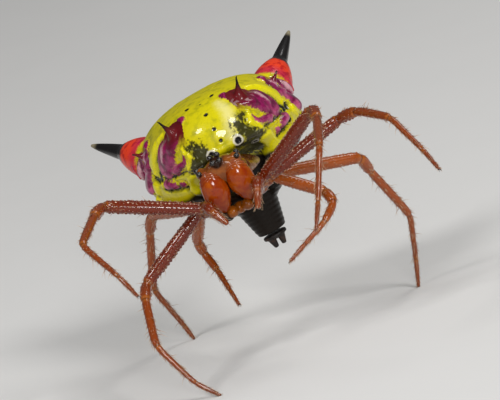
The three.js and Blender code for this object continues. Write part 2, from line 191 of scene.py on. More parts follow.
@dataclass(frozen=True)
class Stance:
    """How the body is held over the floor, in millimetres and degrees."""

    height: float = 5.05
    pitch: float = -3.0
    head_lean: float = -11.5
    abdomen_lean: float = -14.0
    abdomen_swing: float = 2.7
    eye: Point = (0.6, -1.0, 0.88)

    @staticmethod
    def _turn(pitch: float, lean: float, swing: float) -> Matrix:
        """Finds how a part of the body is turned.

        Args:
            pitch: How far its nose is lowered, in degrees.
            lean: How far it leans to the left.
            swing: How far its hind end swings to the right.

        Returns:
            The turn.
        """
        made = Matrix.Identity(4)
        for degrees, axis in ((lean, "Y"), (pitch, "X"), (swing, "Z")):
            made = made @ Matrix.Rotation(math.radians(degrees), 4, axis)
        return made

    def frames(self) -> dict[str, Matrix]:
        """Finds where the frames of the body's parts are, from the place of the left rear eye.

        Returns:
            The frames of the head, the abdomen and the floor below them, in millimetres.
        """
        low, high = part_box("eye_rear_side_left")
        head = self._turn(self.pitch, self.head_lean, 0)
        abdomen = self._turn(self.pitch, self.abdomen_lean, self.abdomen_swing)
        centre = (Vector(low) + Vector(high)) / 2 / MM - head @ Vector(self.eye)
        floor = Matrix.Translation((centre.x, centre.y, centre.z - self.height))
        lift = Matrix.Translation((0, 0, self.height))
        return {"head": floor @ lift @ head, "abdomen": floor @ lift @ abdomen, "floor": floor}


class Bench:
    """The modelling steps that all pieces share."""

    @staticmethod
    def take(piece: Piece) -> None:
        """Makes a piece the only one selected and the active one.

        Args:
            piece: The piece.
        """
        bpy.ops.object.select_all(action="DESELECT")
        piece.select_set(True)
        bpy.context.view_layer.objects.active = piece

    @staticmethod
    def points(piece: Piece, key: str = "co") -> Array:
        """Reads three numbers at each of a mesh's points.

        Args:
            piece: The piece.
            key: What is read: co for the places or normal for the ways that they face.

        Returns:
            The numbers, one point a row.
        """
        flat = np.empty(len(piece.data.vertices) * 3, dtype=np.float32)
        piece.data.vertices.foreach_get(key, flat)
        return flat.reshape(-1, 3).astype(float)

    @staticmethod
    def normals(piece: Piece) -> Array:
        """The directions in which a mesh's points face, one a row."""
        return Bench.points(piece, "normal")

    @staticmethod
    def place(piece: Piece, points: Array) -> None:
        """Moves a mesh's points to new places."""
        piece.data.vertices.foreach_set("co", points.astype(np.float32).ravel())
        piece.data.update()

    @staticmethod
    def lift(piece: Piece, floor: float) -> None:
        """Brings the points that lie below a height up to it.

        Args:
            piece: The piece.
            floor: The height.
        """
        points = Bench.points(piece)
        points[:, 2] = np.maximum(points[:, 2], floor)
        Bench.place(piece, points)

    @staticmethod
    def record(piece: Piece, name: str, values: Array) -> None:
        """Keeps a number at each of a mesh's points, for its material to read."""
        made = piece.data.attributes.new(name, "FLOAT", "POINT")
        made.data.foreach_set("value", values.astype(np.float32))

    @staticmethod
    def apply(piece: Piece, kind: str, **settings: float | str | bool) -> None:
        """Adds a modifier to a piece and applies it.

        Args:
            piece: The piece to change.
            kind: The modifier's type.
            settings: The modifier's settings.
        """
        Bench.take(piece)
        modifier = piece.modifiers.new(kind, kind)
        for key, value in settings.items():
            setattr(modifier, key, value)
        bpy.ops.object.modifier_apply(modifier=modifier.name)

    @staticmethod
    def close(piece: Piece, distance: float = 1e-4) -> None:
        """Merges a mesh's doubled points and turns its faces outwards.

        Args:
            piece: The piece.
            distance: How close two points are that become one.
        """
        Bench.take(piece)
        bpy.ops.object.mode_set(mode="EDIT")
        bpy.ops.mesh.select_all(action="SELECT")
        bpy.ops.mesh.remove_doubles(threshold=distance)
        bpy.ops.mesh.normals_make_consistent(inside=False)
        bpy.ops.object.mode_set(mode="OBJECT")

    @staticmethod
    def wrap(name: str, around: int, along: int, form: Form) -> Piece:
        """Wraps a grid round into a closed form.

        Args:
            name: The piece's name.
            around: How many faces go round the form.
            along: How many faces go from its start to its end.
            form: Gives the places and the numbers to keep for shares of the way round and along.

        Returns:
            The closed piece.
        """
        bpy.ops.object.select_all(action="DESELECT")
        bpy.ops.mesh.primitive_grid_add(x_subdivisions=around, y_subdivisions=along, size=1)
        piece = bpy.context.object
        piece.name = name
        flat = Bench.points(piece)
        places, notes = form(flat[:, 0] + 0.5, flat[:, 1] + 0.5)
        Bench.place(piece, places)
        for key, values in notes.items():
            Bench.record(piece, key, values)
        Bench.close(piece)
        return piece

    @staticmethod
    def ball(name: str, segments: int, rings: int, form: Profile) -> Piece:
        """Shapes a ball into another closed form.

        Args:
            name: The piece's name.
            segments: How many faces go round the ball.
            rings: How many go from pole to pole.
            form: Gives new places for the ball's points.

        Returns:
            The shaped piece.
        """
        bpy.ops.object.select_all(action="DESELECT")
        bpy.ops.mesh.primitive_uv_sphere_add(segments=segments, ring_count=rings, radius=1)
        piece = bpy.context.object
        piece.name = name
        Bench.place(piece, form(Bench.points(piece)))
        Bench.close(piece)
        return piece

    @staticmethod
    def lump(centre: Point, radii: Point) -> Piece:
        """One rounded lump, to be fused with others."""
        return Bench.ball("lump", 32, 20, lambda ways: ways * np.array(radii) + np.array(centre))

    @staticmethod
    def join(name: str, pieces: list[Piece]) -> Piece:
        """Joins pieces into one object.

        Args:
            name: The new piece's name.
            pieces: The pieces to join.

        Returns:
            The new piece.
        """
        bpy.ops.object.select_all(action="DESELECT")
        for piece in pieces:
            piece.select_set(True)
        bpy.context.view_layer.objects.active = pieces[0]
        bpy.ops.object.join()
        pieces[0].name = name
        return pieces[0]

    @staticmethod
    def fuse(name: str, pieces: list[Piece], grain: float, rounds: int) -> Piece:
        """Fuses overlapping pieces into one even skin.

        Args:
            name: The skin's name.
            pieces: The closed pieces to fuse.
            grain: The size of the new skin's faces.
            rounds: How often the new skin is smoothed.

        Returns:
            The skin.
        """
        piece = Bench.join(name, pieces)
        Bench.apply(piece, "REMESH", mode="VOXEL", voxel_size=grain, adaptivity=0.0)
        Bench.apply(piece, "SMOOTH", factor=0.5, iterations=rounds)
        return piece

    @staticmethod
    def finish(
        piece: Piece, turn: Matrix, material: bpy.types.Material, slot: Slot, *nodes: str
    ) -> Piece:
        """Puts a piece in its place in metres, dresses it and ties it to the frame.

        Args:
            piece: The piece, in millimetres in the frame of its body part.
            turn: That frame.
            material: The piece's finish.
            slot: Not used.
            nodes: The solids that the piece stands for.

        Returns:
            The piece.
        """
        piece.data.transform(Matrix.Scale(MM, 4) @ turn)
        piece.data.materials.clear()
        piece.data.materials.append(material)
        Bench.take(piece)
        bpy.ops.object.shade_smooth()
        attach(piece, "root")
        if nodes:
            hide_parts(*nodes)
        return piece


class Value:
    """An output of a material's nodes, with the arithmetic of Math nodes."""

    def __init__(self, shader: "Shader", socket: bpy.types.NodeSocket) -> None:
        """Keeps an output and its shader."""
        self.shader = shader
        self.socket = socket

    def _maths(self, operation: str, *terms: "Value | float") -> "Value":
        """Adds one Math node."""
        return self.shader.node("ShaderNodeMath", {"operation": operation}, dict(enumerate(terms)))

    def __add__(self, other: "Value | float") -> "Value":
        """The sum."""
        return self._maths("ADD", self, other)

    __radd__ = __add__

    def __sub__(self, other: "Value | float") -> "Value":
        """The difference."""
        return self._maths("SUBTRACT", self, other)

    def __rsub__(self, other: float) -> "Value":
        """The difference from a number."""
        return self._maths("SUBTRACT", other, self)

    def __mul__(self, other: "Value | float") -> "Value":
        """The product."""
        return self._maths("MULTIPLY", self, other)

    __rmul__ = __mul__

    def above(self, low: float, high: float) -> "Value":
        """A smooth rise from 0 at low to 1 at high."""
        inputs = {"Value": self, "From Min": low, "From Max": high}
        return self.shader.node("ShaderNodeMapRange", {"interpolation_type": "SMOOTHSTEP"}, inputs)

    def below(self, low: float, high: float) -> "Value":
        """A smooth fall from 1 at low to 0 at high."""
        return 1 - self.above(low, high)


class Shader:
    """A material under construction."""

    # The sockets of a Mix node for colours: its factor, its two colours and its result.
    MIX_SHARE, MIX_A, MIX_B, MIX_RESULT = 0, 6, 7, 2

    def __init__(self, name: str) -> None:
        """Starts a material with a single surface node.

        Args:
            name: The material's name.
        """
        self.material = bpy.data.materials.new(name)
        self.material.use_nodes = True
        self.tree = self.material.node_tree
        self.tree.nodes.clear()
        self.output = self.tree.nodes.new("ShaderNodeOutputMaterial")
        self.surface = self.tree.nodes.new("ShaderNodeBsdfPrincipled")
        self.tree.links.new(self.surface.outputs["BSDF"], self.output.inputs["Surface"])
        self.coordinates = self.node("ShaderNodeTexCoord", output="Object")

    def node(
        self,
        kind: str,
        settings: dict[str, str] | None = None,
        inputs: dict[str | int, object] | None = None,
        output: str | int = 0,
    ) -> Value:
        """Adds any node.

        Args:
            kind: The node's type.
            settings: Its settings, which are set before its sockets.
            inputs: Values or links for its input sockets.
            output: Which output to return.

        Returns:
            That output.
        """
        made = self.tree.nodes.new(kind)
        for key, value in (settings or {}).items():
            setattr(made, key, value)
        for key, value in (inputs or {}).items():
            self._feed(made.inputs[key], value)
        return Value(self, made.outputs[output])

    def _feed(self, socket: bpy.types.NodeSocket, value: object) -> None:
        """Links or sets one input.

        Args:
            socket: The input.
            value: A link, a number or a colour.
        """
        if isinstance(value, Value):
            self.tree.links.new(value.socket, socket)
        elif socket.type == "RGBA":
            socket.default_value = (*value, 1.0)
        else:
            socket.default_value = value

    def noise(self, size: float, detail: float = 2.0, distortion: float = 0.0) -> Value:
        """Soft noise.

        Args:
            size: The size of its lumps in millimetres.
            detail: How many finer layers it has.
            distortion: How far it is stirred.

        Returns:
            The noise, about 0 to 1.
        """
        inputs = {
            "Vector": self.coordinates,
            "Scale": 1 / (size * MM),
            "Detail": detail,
            "Distortion": distortion,
        }
        return self.node("ShaderNodeTexNoise", None, inputs)

    def cells(self, size: float) -> Value:
        """Cells of a size in millimetres, as the distance to their middles."""
        inputs = {"Vector": self.coordinates, "Scale": 1 / (size * MM)}
        return self.node("ShaderNodeTexVoronoi", {"feature": "F1"}, inputs)

    def attribute(self, name: str) -> Value:
        """A number kept at the mesh's points."""
        return self.node("ShaderNodeAttribute", {"attribute_name": name}, output="Fac")

    def within(self, name: str, stir: Value, inner: float, outer: float) -> Value:
        """Where a kept distance, stirred by noise, is short: 1 below inner and 0 above outer."""
        return (self.attribute(name) + stir).below(inner, outer)

    def mix(self, share: Value | float, a: Value | Colour, b: Value | Colour) -> Value:
        """A colour between a and b."""
        inputs = {self.MIX_SHARE: share, self.MIX_A: a, self.MIX_B: b}
        return self.node("ShaderNodeMix", {"data_type": "RGBA"}, inputs, self.MIX_RESULT)

    def bump(self, height: Value, depth: float, strength: float = 1.0) -> Value:
        """A surface relief.

        Args:
            height: The height, 0 to 1.
            depth: The depth in millimetres that a height of 1 stands for.
            strength: How strongly it shows.

        Returns:
            The normal for a surface.
        """
        inputs = {"Strength": strength, "Distance": depth * MM, "Height": height}
        return self.node("ShaderNodeBump", None, inputs)

    def finish(self, **sockets: object) -> bpy.types.Material:
        """Feeds the surface's sockets, whose names are given with _ for each space.

        Args:
            sockets: Values or links.

        Returns:
            The material.
        """
        for key, value in sockets.items():
            self._feed(self.surface.inputs[key.replace("_", " ")], value)
        return self.material


@dataclass(frozen=True)
class LegShell:
    """The glossy red-brown shell of the legs: dark red on the thighs and oranger towards the feet."""

    name: str
    thick: Colour
    thin: Colour
    foot: Colour
    deep: Colour = (0.035, 0.004, 0.0015)
    amber: Colour = (0.36, 0.115, 0.014)
    # A painted highlight: the pale glint painted on the tips of the upper knobs
    pearl: Colour = (0.7, 0.46, 0.32)

    def material(self) -> bpy.types.Material:
        """Makes the shell's material from the leg's own measures.

        Returns:
            The material.
        """
        shader = Shader(self.name)
        along = shader.attribute("along")
        neck = shader.attribute("neck")
        clouds = shader.noise(0.3, 3.0)
        grain = shader.noise(0.04, 2.0)
        spread = along + (clouds - 0.5) * 0.25
        shell = shader.mix(spread.above(0.3, 0.55), self.thick, self.thin)
        shell = shader.mix(spread.above(0.75, 1.0), shell, self.foot)
        shell = shader.mix(grain.above(0.5, 0.75) * 0.4, shell, self.deep)
        shell = shader.mix(neck.above(0.05, 0.6) * clouds.above(0.3, 0.6) * 0.5, shell, self.amber)
        colour = shader.mix(neck.above(0.86, 0.99) * 0.5, shell, self.deep)
        # Painted highlight: pale glints on the knob tips, strongest on knobs that face up
        colour = shader.mix(shader.attribute("pearl").above(0.35, 0.95) * 0.8, colour, self.pearl)
        relief = shader.noise(0.03, 3.0) * 0.6 + shader.cells(0.07) * 0.4
        return shader.finish(
            Base_Color=colour,
            Roughness=0.2 + grain * 0.18,
            Specular_IOR_Level=0.15,
            Coat_Weight=0.65,
            Coat_Roughness=0.07,
            Normal=shader.bump(relief, 0.006, 0.6),
        )


@dataclass(frozen=True)
class HeadShell:
    """A glossy orange-brown shell, darkened by a kept value: painted shade in its grooves, and other darker
    parts.
    """

    name: str
    base: Colour
    deep: Colour
    glow: Colour
    roughness: float = 0.2
    grain: float = 0.006
    coat: float = 0.35
    pale: Colour = (0.30, 0.19, 0.10)

    def material(self) -> bpy.types.Material:
        """Makes the shell's material.

        Returns:
            The material.
        """
        shader = Shader(self.name)
        clouds = shader.noise(0.4, 3.0, 0.4)
        grain = shader.noise(0.05, 3.0)
        colour = shader.mix(clouds.above(0.35, 0.7), self.base, self.glow)
        # Darkens by the kept groove value: painted shade in the grooves, and other darker parts
        colour = shader.mix(shader.attribute("groove"), colour, self.deep)
        colour = shader.mix(grain.above(0.52, 0.8) * 0.35, colour, self.deep)
        colour = shader.mix(shader.attribute("pale") * clouds.above(0.2, 0.6) * 0.8, colour, self.pale)
        return shader.finish(
            Base_Color=colour,
            Roughness=self.roughness + grain * 0.12,
            Specular_IOR_Level=0.1,
            Coat_Weight=self.coat,
            Coat_Roughness=0.06,
            Normal=shader.bump(shader.noise(0.04, 3.0), self.grain, 0.4),
        )


@dataclass(frozen=True)
class DarkShell:
    """Satin black shell, as on the underside and the spinnerets."""

    name: str = "dark_shell"
    base: Colour = (0.012, 0.009, 0.008)
    warm: Colour = (0.06, 0.03, 0.018)

    def material(self) -> bpy.types.Material:
        """Makes the shell's material.

        Returns:
            The material.
        """
        shader = Shader(self.name)
        clouds = shader.noise(0.25, 3.0)
        return shader.finish(
            Base_Color=shader.mix(clouds.above(0.45, 0.75), self.base, self.warm),
            Roughness=0.34 + clouds * 0.15,
            Specular_IOR_Level=0.25,
            Normal=shader.bump(shader.cells(0.06), 0.008, 0.5),
        )


@dataclass(frozen=True)
class EyeGlass:
    """The polished black cornea of an eye."""

    name: str = "eye_glass"
    base: Colour = (0.002, 0.0018, 0.0016)
    warm: Colour = (0.012, 0.006, 0.003)

    def material(self) -> bpy.types.Material:
        """Makes the cornea's material.

        Returns:
            The material.
        """
        shader = Shader(self.name)
        return shader.finish(
            Base_Color=shader.mix(shader.noise(0.12), self.base, self.warm),
            Roughness=0.06,
            Specular_IOR_Level=0.35,
            Coat_Weight=0.6,
            Coat_Roughness=0.02,
        )


@dataclass(frozen=True)
class Bristle:
    """The finish of the bristles: brown at the root and pale at the tip."""

    name: str = "bristle"
    root: Colour = (0.28, 0.1, 0.035)
    tip: Colour = (0.6, 0.42, 0.26)

    def material(self) -> bpy.types.Material:
        """Makes the bristles' material.

        Returns:
            The material.
        """
        shader = Shader(self.name)
        return shader.finish(
            Base_Color=shader.mix(shader.attribute("tip").above(0.1, 0.8), self.root, self.tip),
            Roughness=0.35,
        )


@dataclass(frozen=True)
class PaintedShell:
    """The abdomen's glossy shell, whose markings follow distances kept on the skin."""

    name: str = "painted_shell"
    yellow: Colour = (0.57, 0.50, 0.002)
    lime: Colour = (0.25, 0.25, 0.004)
    # A painted highlight: the pale band on the front of the left side
    cream: Colour = (0.72, 0.66, 0.27)
    magenta: Colour = (0.23, 0.004, 0.075)
    wine: Colour = (0.075, 0.002, 0.02)
    pink: Colour = (0.45, 0.09, 0.19)
    # A painted highlight: pale streaks along the patches' ridges
    sheen: Colour = (0.62, 0.38, 0.4)
    maroon: Colour = (0.11, 0.004, 0.006)
    soot: Colour = (0.009, 0.009, 0.004)
    ash: Colour = (0.16, 0.165, 0.1)
    umber: Colour = (0.009, 0.006, 0.004)
    # A painted highlight: the pale rings painted round pits as the glint on their raised rims
    pearl: Colour = (0.66, 0.62, 0.52)
    scarlet: Colour = (0.74, 0.045, 0.01)
    ember: Colour = (0.4, 0.003, 0.002)
    gold: Colour = (0.66, 0.59, 0.003)
    black: Colour = (0.007, 0.006, 0.006)
    # A painted highlight: the pale tips of the rear spines
    horn: Colour = (0.26, 0.22, 0.14)

    def material(self) -> bpy.types.Material:
        """Makes the painted shell's material.

        Returns:
            The material.
        """
        shader = Shader(self.name)
        speck = shader.noise(0.06, 3.0)
        drift = (shader.noise(0.45, 3.0) - 0.5) * 0.5
        edge = (speck - 0.5) * 0.16 + (shader.noise(0.2) - 0.5) * 0.1
        colour = self._ground(shader, speck, drift, edge)
        patch = self._patch(shader, speck, edge)
        colour = shader.mix(shader.within("magenta", edge * 0.8, -0.03, 0.02), colour, patch)
        # Painted highlight: pale rings round two pits stand for the glint on their rims
        colour = shader.mix(shader.within("ring", edge * 0.4, -0.03, 0.02) * 0.85, colour, self.pearl)
        colour = shader.mix(shader.within("pit", edge * 0.25, -0.015, 0.015), colour, self.black)
        crest = shader.attribute("crest")
        horn = shader.attribute("horn")
        red = horn.above(-0.1, 0.0) * horn.below(0.28, 0.36)
        gloss = shader.attribute("belly").above(-0.1, 0.1) * (1 - crest) * (1 - red * 0.7)
        return shader.finish(
            Base_Color=self._spines(shader, colour, drift, edge),
            Roughness=0.22 + speck * 0.16 + crest * 0.25,
            Specular_IOR_Level=0.12,
            Coat_Weight=gloss * 0.42 + 0.04,
            Coat_Roughness=0.03,
            Normal=shader.bump(shader.noise(0.07, 3.0), 0.012, 0.5),
        )

    def _ground(self, shader: Shader, speck: Value, drift: Value, edge: Value) -> Value:
        """Paints the yellow ground with its painted highlight band, soot, painted shade in the grooves,
        bright lobes and dark belly.

        Args:
            shader: The material under construction.
            speck: The noise of the fine specks.
            drift: How far soft edges wander.
            edge: How ragged crisp edges are.

        Returns:
            The colour.
        """
        colour = shader.mix(shader.noise(0.25, 4.0).above(0.45, 0.75) * 0.7, self.yellow, self.lime)
        colour = shader.mix(speck.above(0.6, 0.78) * 0.35, colour, self.lime)
        # Painted highlight: a pale band on the left front of the shell
        colour = shader.mix(shader.within("cream", edge, -0.15, 0.15) * 0.7, colour, self.cream)
        # This colour is the real soot marking and also the painted shade in the grooves
        soot_and_groove_shade = shader.mix(shader.noise(0.1, 3.0).above(0.56, 0.7), self.soot, self.ash)
        stir = drift + edge * 2.0 + (shader.noise(0.1, 3.0) - 0.5) * 0.5
        colour = shader.mix(shader.within("soot", stir, -0.1, 0.1) * 0.95, colour, soot_and_groove_shade)
        # Painted shade: the grooves between the folds are painted dark
        colour = shader.mix(shader.within("grooves", edge * 0.7, -0.03, 0.04), colour, soot_and_groove_shade)
        bright = shader.mix(speck.above(0.55, 0.8) * 0.3, self.gold, self.lime)
        colour = shader.mix(shader.within("yolk", edge * 0.6, -0.03, 0.02), colour, bright)
        return shader.mix(shader.within("belly", drift * 0.4, -0.08, 0.08), colour, self.umber)

    def _patch(self, shader: Shader, speck: Value, edge: Value) -> Value:
        """Paints the magenta patches with their wine clouds, pink blush and painted highlights along their
        ridges.

        Args:
            shader: The material under construction.
            speck: The noise of the fine specks.
            edge: How ragged crisp edges are.

        Returns:
            The colour.
        """
        clouds = shader.noise(0.22, 3.0, 0.3).above(0.42, 0.62)
        colour = shader.mix(clouds * 0.8, self.magenta, self.wine)
        rosy = shader.noise(0.28, 3.0).above(0.4, 0.7) * shader.attribute("blush")
        colour = shader.mix(rosy, colour, self.pink)
        # Painted highlight: pale streaks along the raised ridges
        colour = shader.mix(shader.within("ridge", edge * 0.4, -0.03, 0.03) * 0.7, colour, self.sheen)
        return shader.mix(speck.above(0.62, 0.7) * 0.35, colour, self.pink)

    def _spines(self, shader: Shader, under: Value, drift: Value, edge: Value) -> Value:
        """Paints the maroon and black thorns and the red and black rear spines, with a painted highlight at
        their tips.

        Args:
            shader: The material under construction.
            under: The colour of the shell between them.
            drift: How far soft edges wander.
            edge: How ragged crisp edges are.

        Returns:
            The colour.
        """
        thorn = shader.attribute("thorn")
        horn = shader.attribute("horn")
        colour = shader.mix((thorn + edge).above(-0.06, 0.26), under, self.maroon)
        colour = shader.mix((thorn + edge).above(0.4, 0.8), colour, self.black)
        red = shader.mix(shader.noise(0.2).above(0.48, 0.62) * 0.8, self.scarlet, self.ember)
        red = shader.mix((horn + drift * 0.2).below(0.02, 0.16) * 0.5, red, self.magenta)
        colour = shader.mix((horn + edge * 0.4).above(-0.05, 0.0), colour, red)
        colour = shader.mix((horn + edge * 0.5).above(0.3, 0.36), colour, self.black)
        # Painted highlight: the tips of the rear spines are painted pale
        return shader.mix((horn + edge * 0.2).above(0.86, 0.96), colour, self.horn)


class Finishes:
    """All the spider's materials, made once."""

    def __init__(self) -> None:
        """Makes the materials."""
        fore = LegShell(
            "fore_leg_shell",
            thick=(0.13, 0.013, 0.0012),
            thin=(0.22, 0.039, 0.004),
            foot=(0.16, 0.029, 0.005),
        )
        hind = LegShell(
            "hind_leg_shell", thick=(0.28, 0.056, 0.004), thin=(0.26, 0.05, 0.005), foot=(0.18, 0.033, 0.006)
        )
        shield = HeadShell(
            "carapace_shell", base=(0.13, 0.03, 0.002), deep=(0.012, 0.004, 0.0015), glow=(0.25, 0.065, 0.003)
        )
        jaw = HeadShell(
            "chelicera_shell",
            base=(0.22, 0.021, 0.001),
            deep=(0.05, 0.004, 0.001),
            glow=(0.33, 0.065, 0.002),
            roughness=0.1,
            grain=0.002,
            coat=0.45,
        )
        self.fore_leg = fore.material()
        self.hind_leg = hind.material()
        self.carapace = shield.material()
        self.chelicera = jaw.material()
        self.dark = DarkShell().material()
        self.eye = EyeGlass().material()
        self.bristle = Bristle().material()
        self.abdomen = PaintedShell().material()


@dataclass
class Part:
    """A sub-assembly of the spider, with the frames of the body's parts and the finishes to dress it in."""

    frames: dict[str, Matrix]
    finishes: Finishes


@dataclass
class LimbPath:
    """A line through a limb's joints, with each bend rounded.

    bend is how far from its joint a bend starts, and share the most of a shaft that it may take. cap is the
    length of the rounded ends of a tube along the line.
    """

    joints: list[Vector]
    bend: float = 0.3
    cap: float = 0.05
    share: float = 0.42
    steps: int = 16
    cap_rings: int = 8
    points: Array = field(init=False)
    reaches: Array = field(init=False)
    marks: list[float] = field(init=False)

    def __post_init__(self) -> None:
        """Lays the line out and finds how far along it each joint lies."""
        line = [np.array(self.joints[0])]
        self.marks = [0.0]
        for before, joint, after in zip(self.joints, self.joints[1:], self.joints[2:]):
            inward, outward = joint - before, after - joint
            reach = min(self.bend, inward.length * self.share, outward.length * self.share)
            start, end = joint - inward.normalized() * reach, joint + outward.normalized() * reach
            middle = len(line) + self.steps // 2
            for t in np.linspace(0, 1, self.steps + 1):
                line.append(np.array(start * (1 - t) ** 2 + joint * (2 * t * (1 - t)) + end * t**2))
            self.marks.append(self._length(line[: middle + 1]))
        line.append(np.array(self.joints[-1]))
        self.points = np.array(line)
        self.reaches = np.concatenate([[0], np.cumsum(np.linalg.norm(np.diff(self.points, axis=0), axis=1))])
        self.marks.append(float(self.reaches[-1]))

    @staticmethod
    def _length(line: list[Array]) -> float:
        """The length of a line of points."""
        return float(np.linalg.norm(np.diff(np.array(line), axis=0), axis=1).sum())

    def at(self, reach: Array) -> Array:
        """The points at given lengths along the line."""
        return np.stack([np.interp(reach, self.reaches, self.points[:, axis]) for axis in range(3)], axis=1)

    def frames(self, reach: Array, probe: float = 0.01) -> tuple[Array, Array, Array, Array]:
        """Finds the centres and untwisted cross directions of rings along the line.

        Args:
            reach: The rings' lengths along the line, in rising order.
            probe: How far to each side of a ring the line's direction is measured.

        Returns:
            The centres, tangents, upper directions and side directions, one ring a row.
        """
        centres = self.at(reach)
        ahead, behind = np.minimum(reach + probe, self.reaches[-1]), np.maximum(reach - probe, 0)
        tangents = unit(self.at(ahead) - self.at(behind))
        steep = 0.9
        up = np.array([0.0, 0.0, 1.0]) if abs(tangents[0, 2]) < steep else np.array([1.0, 0.0, 0.0])
        uppers = []
        for tangent in tangents:
            up = up - tangent * (up @ tangent)
            up = up / np.linalg.norm(up)
            uppers.append(up)
        uppers = np.array(uppers)
        return centres, tangents, uppers, np.cross(tangents, uppers)

    def tube(
        self, name: str, around: int, rings: int, radius: Profile, notes: dict[str, Array] | None = None
    ) -> Piece:
        """Makes a closed tube along the whole line, with rounded ends.

        Args:
            name: The piece's name.
            around: How many faces go round it.
            rings: How many faces go along it.
            radius: Gives the radius at each length along the line.
            notes: Names and numbers to keep at every ring.

        Returns:
            The tube.
        """
        reach = self.spread(rings)
        centres, _, uppers, sides = self.frames(reach)
        radii = radius(reach) * self.rounding(reach)

        def form(u: Array, v: Array) -> tuple[Array, dict[str, Array]]:
            """Puts each point of the grid on its ring.

            Args:
                u: The share of the way round of each point.
                v: Its share of the way along.

            Returns:
                The places, and the numbers to keep.
            """
            ring = np.rint(v * rings).astype(int)
            across = spokes(2 * np.pi * u, uppers[ring], sides[ring])
            kept = {key: values[ring] for key, values in (notes or {}).items()}
            return centres[ring] + across * radii[ring][:, None], kept

        return Bench.wrap(name, around, rings, form)

    def spread(self, rings: int) -> Array:
        """Finds lengths along the line for rings, close together at both ends.

        Args:
            rings: How many faces the rings leave between them.

        Returns:
            The lengths.
        """
        turn = np.linspace(0, np.pi / 2, self.cap_rings + 1)
        cap = self.cap * (1 - np.cos(turn))
        length = self.reaches[-1]
        middle = np.linspace(self.cap, length - self.cap, rings + 1 - 2 * self.cap_rings)
        return np.concatenate([cap[:-1], middle, (length - cap[:-1])[::-1]])

    def rounding(self, reach: Array) -> Array:
        """The share of its radius that each ring keeps where the ends are rounded."""
        inset = np.minimum(reach, self.reaches[-1] - reach)
        return np.sqrt(np.clip(1 - (1 - np.minimum(inset / self.cap, 1)) ** 2, 0, 1))

    def necks(self, reach: Array, width: float) -> Array:
        """How close each length is to a joint, as 1 on it and 0 well clear of it."""
        return np.max([hump(reach, mark, width) for mark in self.marks[1:-1]], axis=0)


@dataclass
class Scatter:
    """One small form laid down many times as a single mesh."""

    name: str
    points: Array
    faces: list[tuple[int, ...]]

    @classmethod
    def ball(cls, name: str) -> "Scatter":
        """Models a small ball of few faces, once.

        Args:
            name: The name of the mesh that will hold its copies.

        Returns:
            The form.
        """
        bpy.ops.object.select_all(action="DESELECT")
        bpy.ops.mesh.primitive_uv_sphere_add(segments=8, ring_count=5, radius=1)
        ball = bpy.context.object
        made = cls(name, Bench.points(ball), [tuple(face.vertices) for face in ball.data.polygons])
        bpy.data.objects.remove(ball)
        return made

    def laid(self, turns: Array, roots: Array, sizes: Array) -> Piece:
        """Lays the form down at many places.

        Args:
            turns: A turn for each place, with its axes as columns.
            roots: The places, one a row.
            sizes: The form's size along its own axes at each place.

        Returns:
            One object with all of them.
        """
        count, each = len(roots), len(self.points)
        scaled = self.points[None, :, :] * sizes[:, None, :]
        points = np.einsum("nij,nkj->nki", turns, scaled) + roots[:, None, :]
        faces = [
            tuple(corner + copy * each for corner in face) for copy in range(count) for face in self.faces
        ]
        mesh = bpy.data.meshes.new(self.name)
        mesh.from_pydata(points.reshape(-1, 3), [], faces)
        piece = bpy.data.objects.new(self.name, mesh)
        bpy.context.scene.collection.objects.link(piece)
        return piece


@dataclass(frozen=True)
class BristleZone:
    """A stretch of a limb with one kind of bristle: how many to a millimetre, how long, leaning and thick."""

    start: float
    end: float
    density: float
    length: float
    lean: float
    radius: float


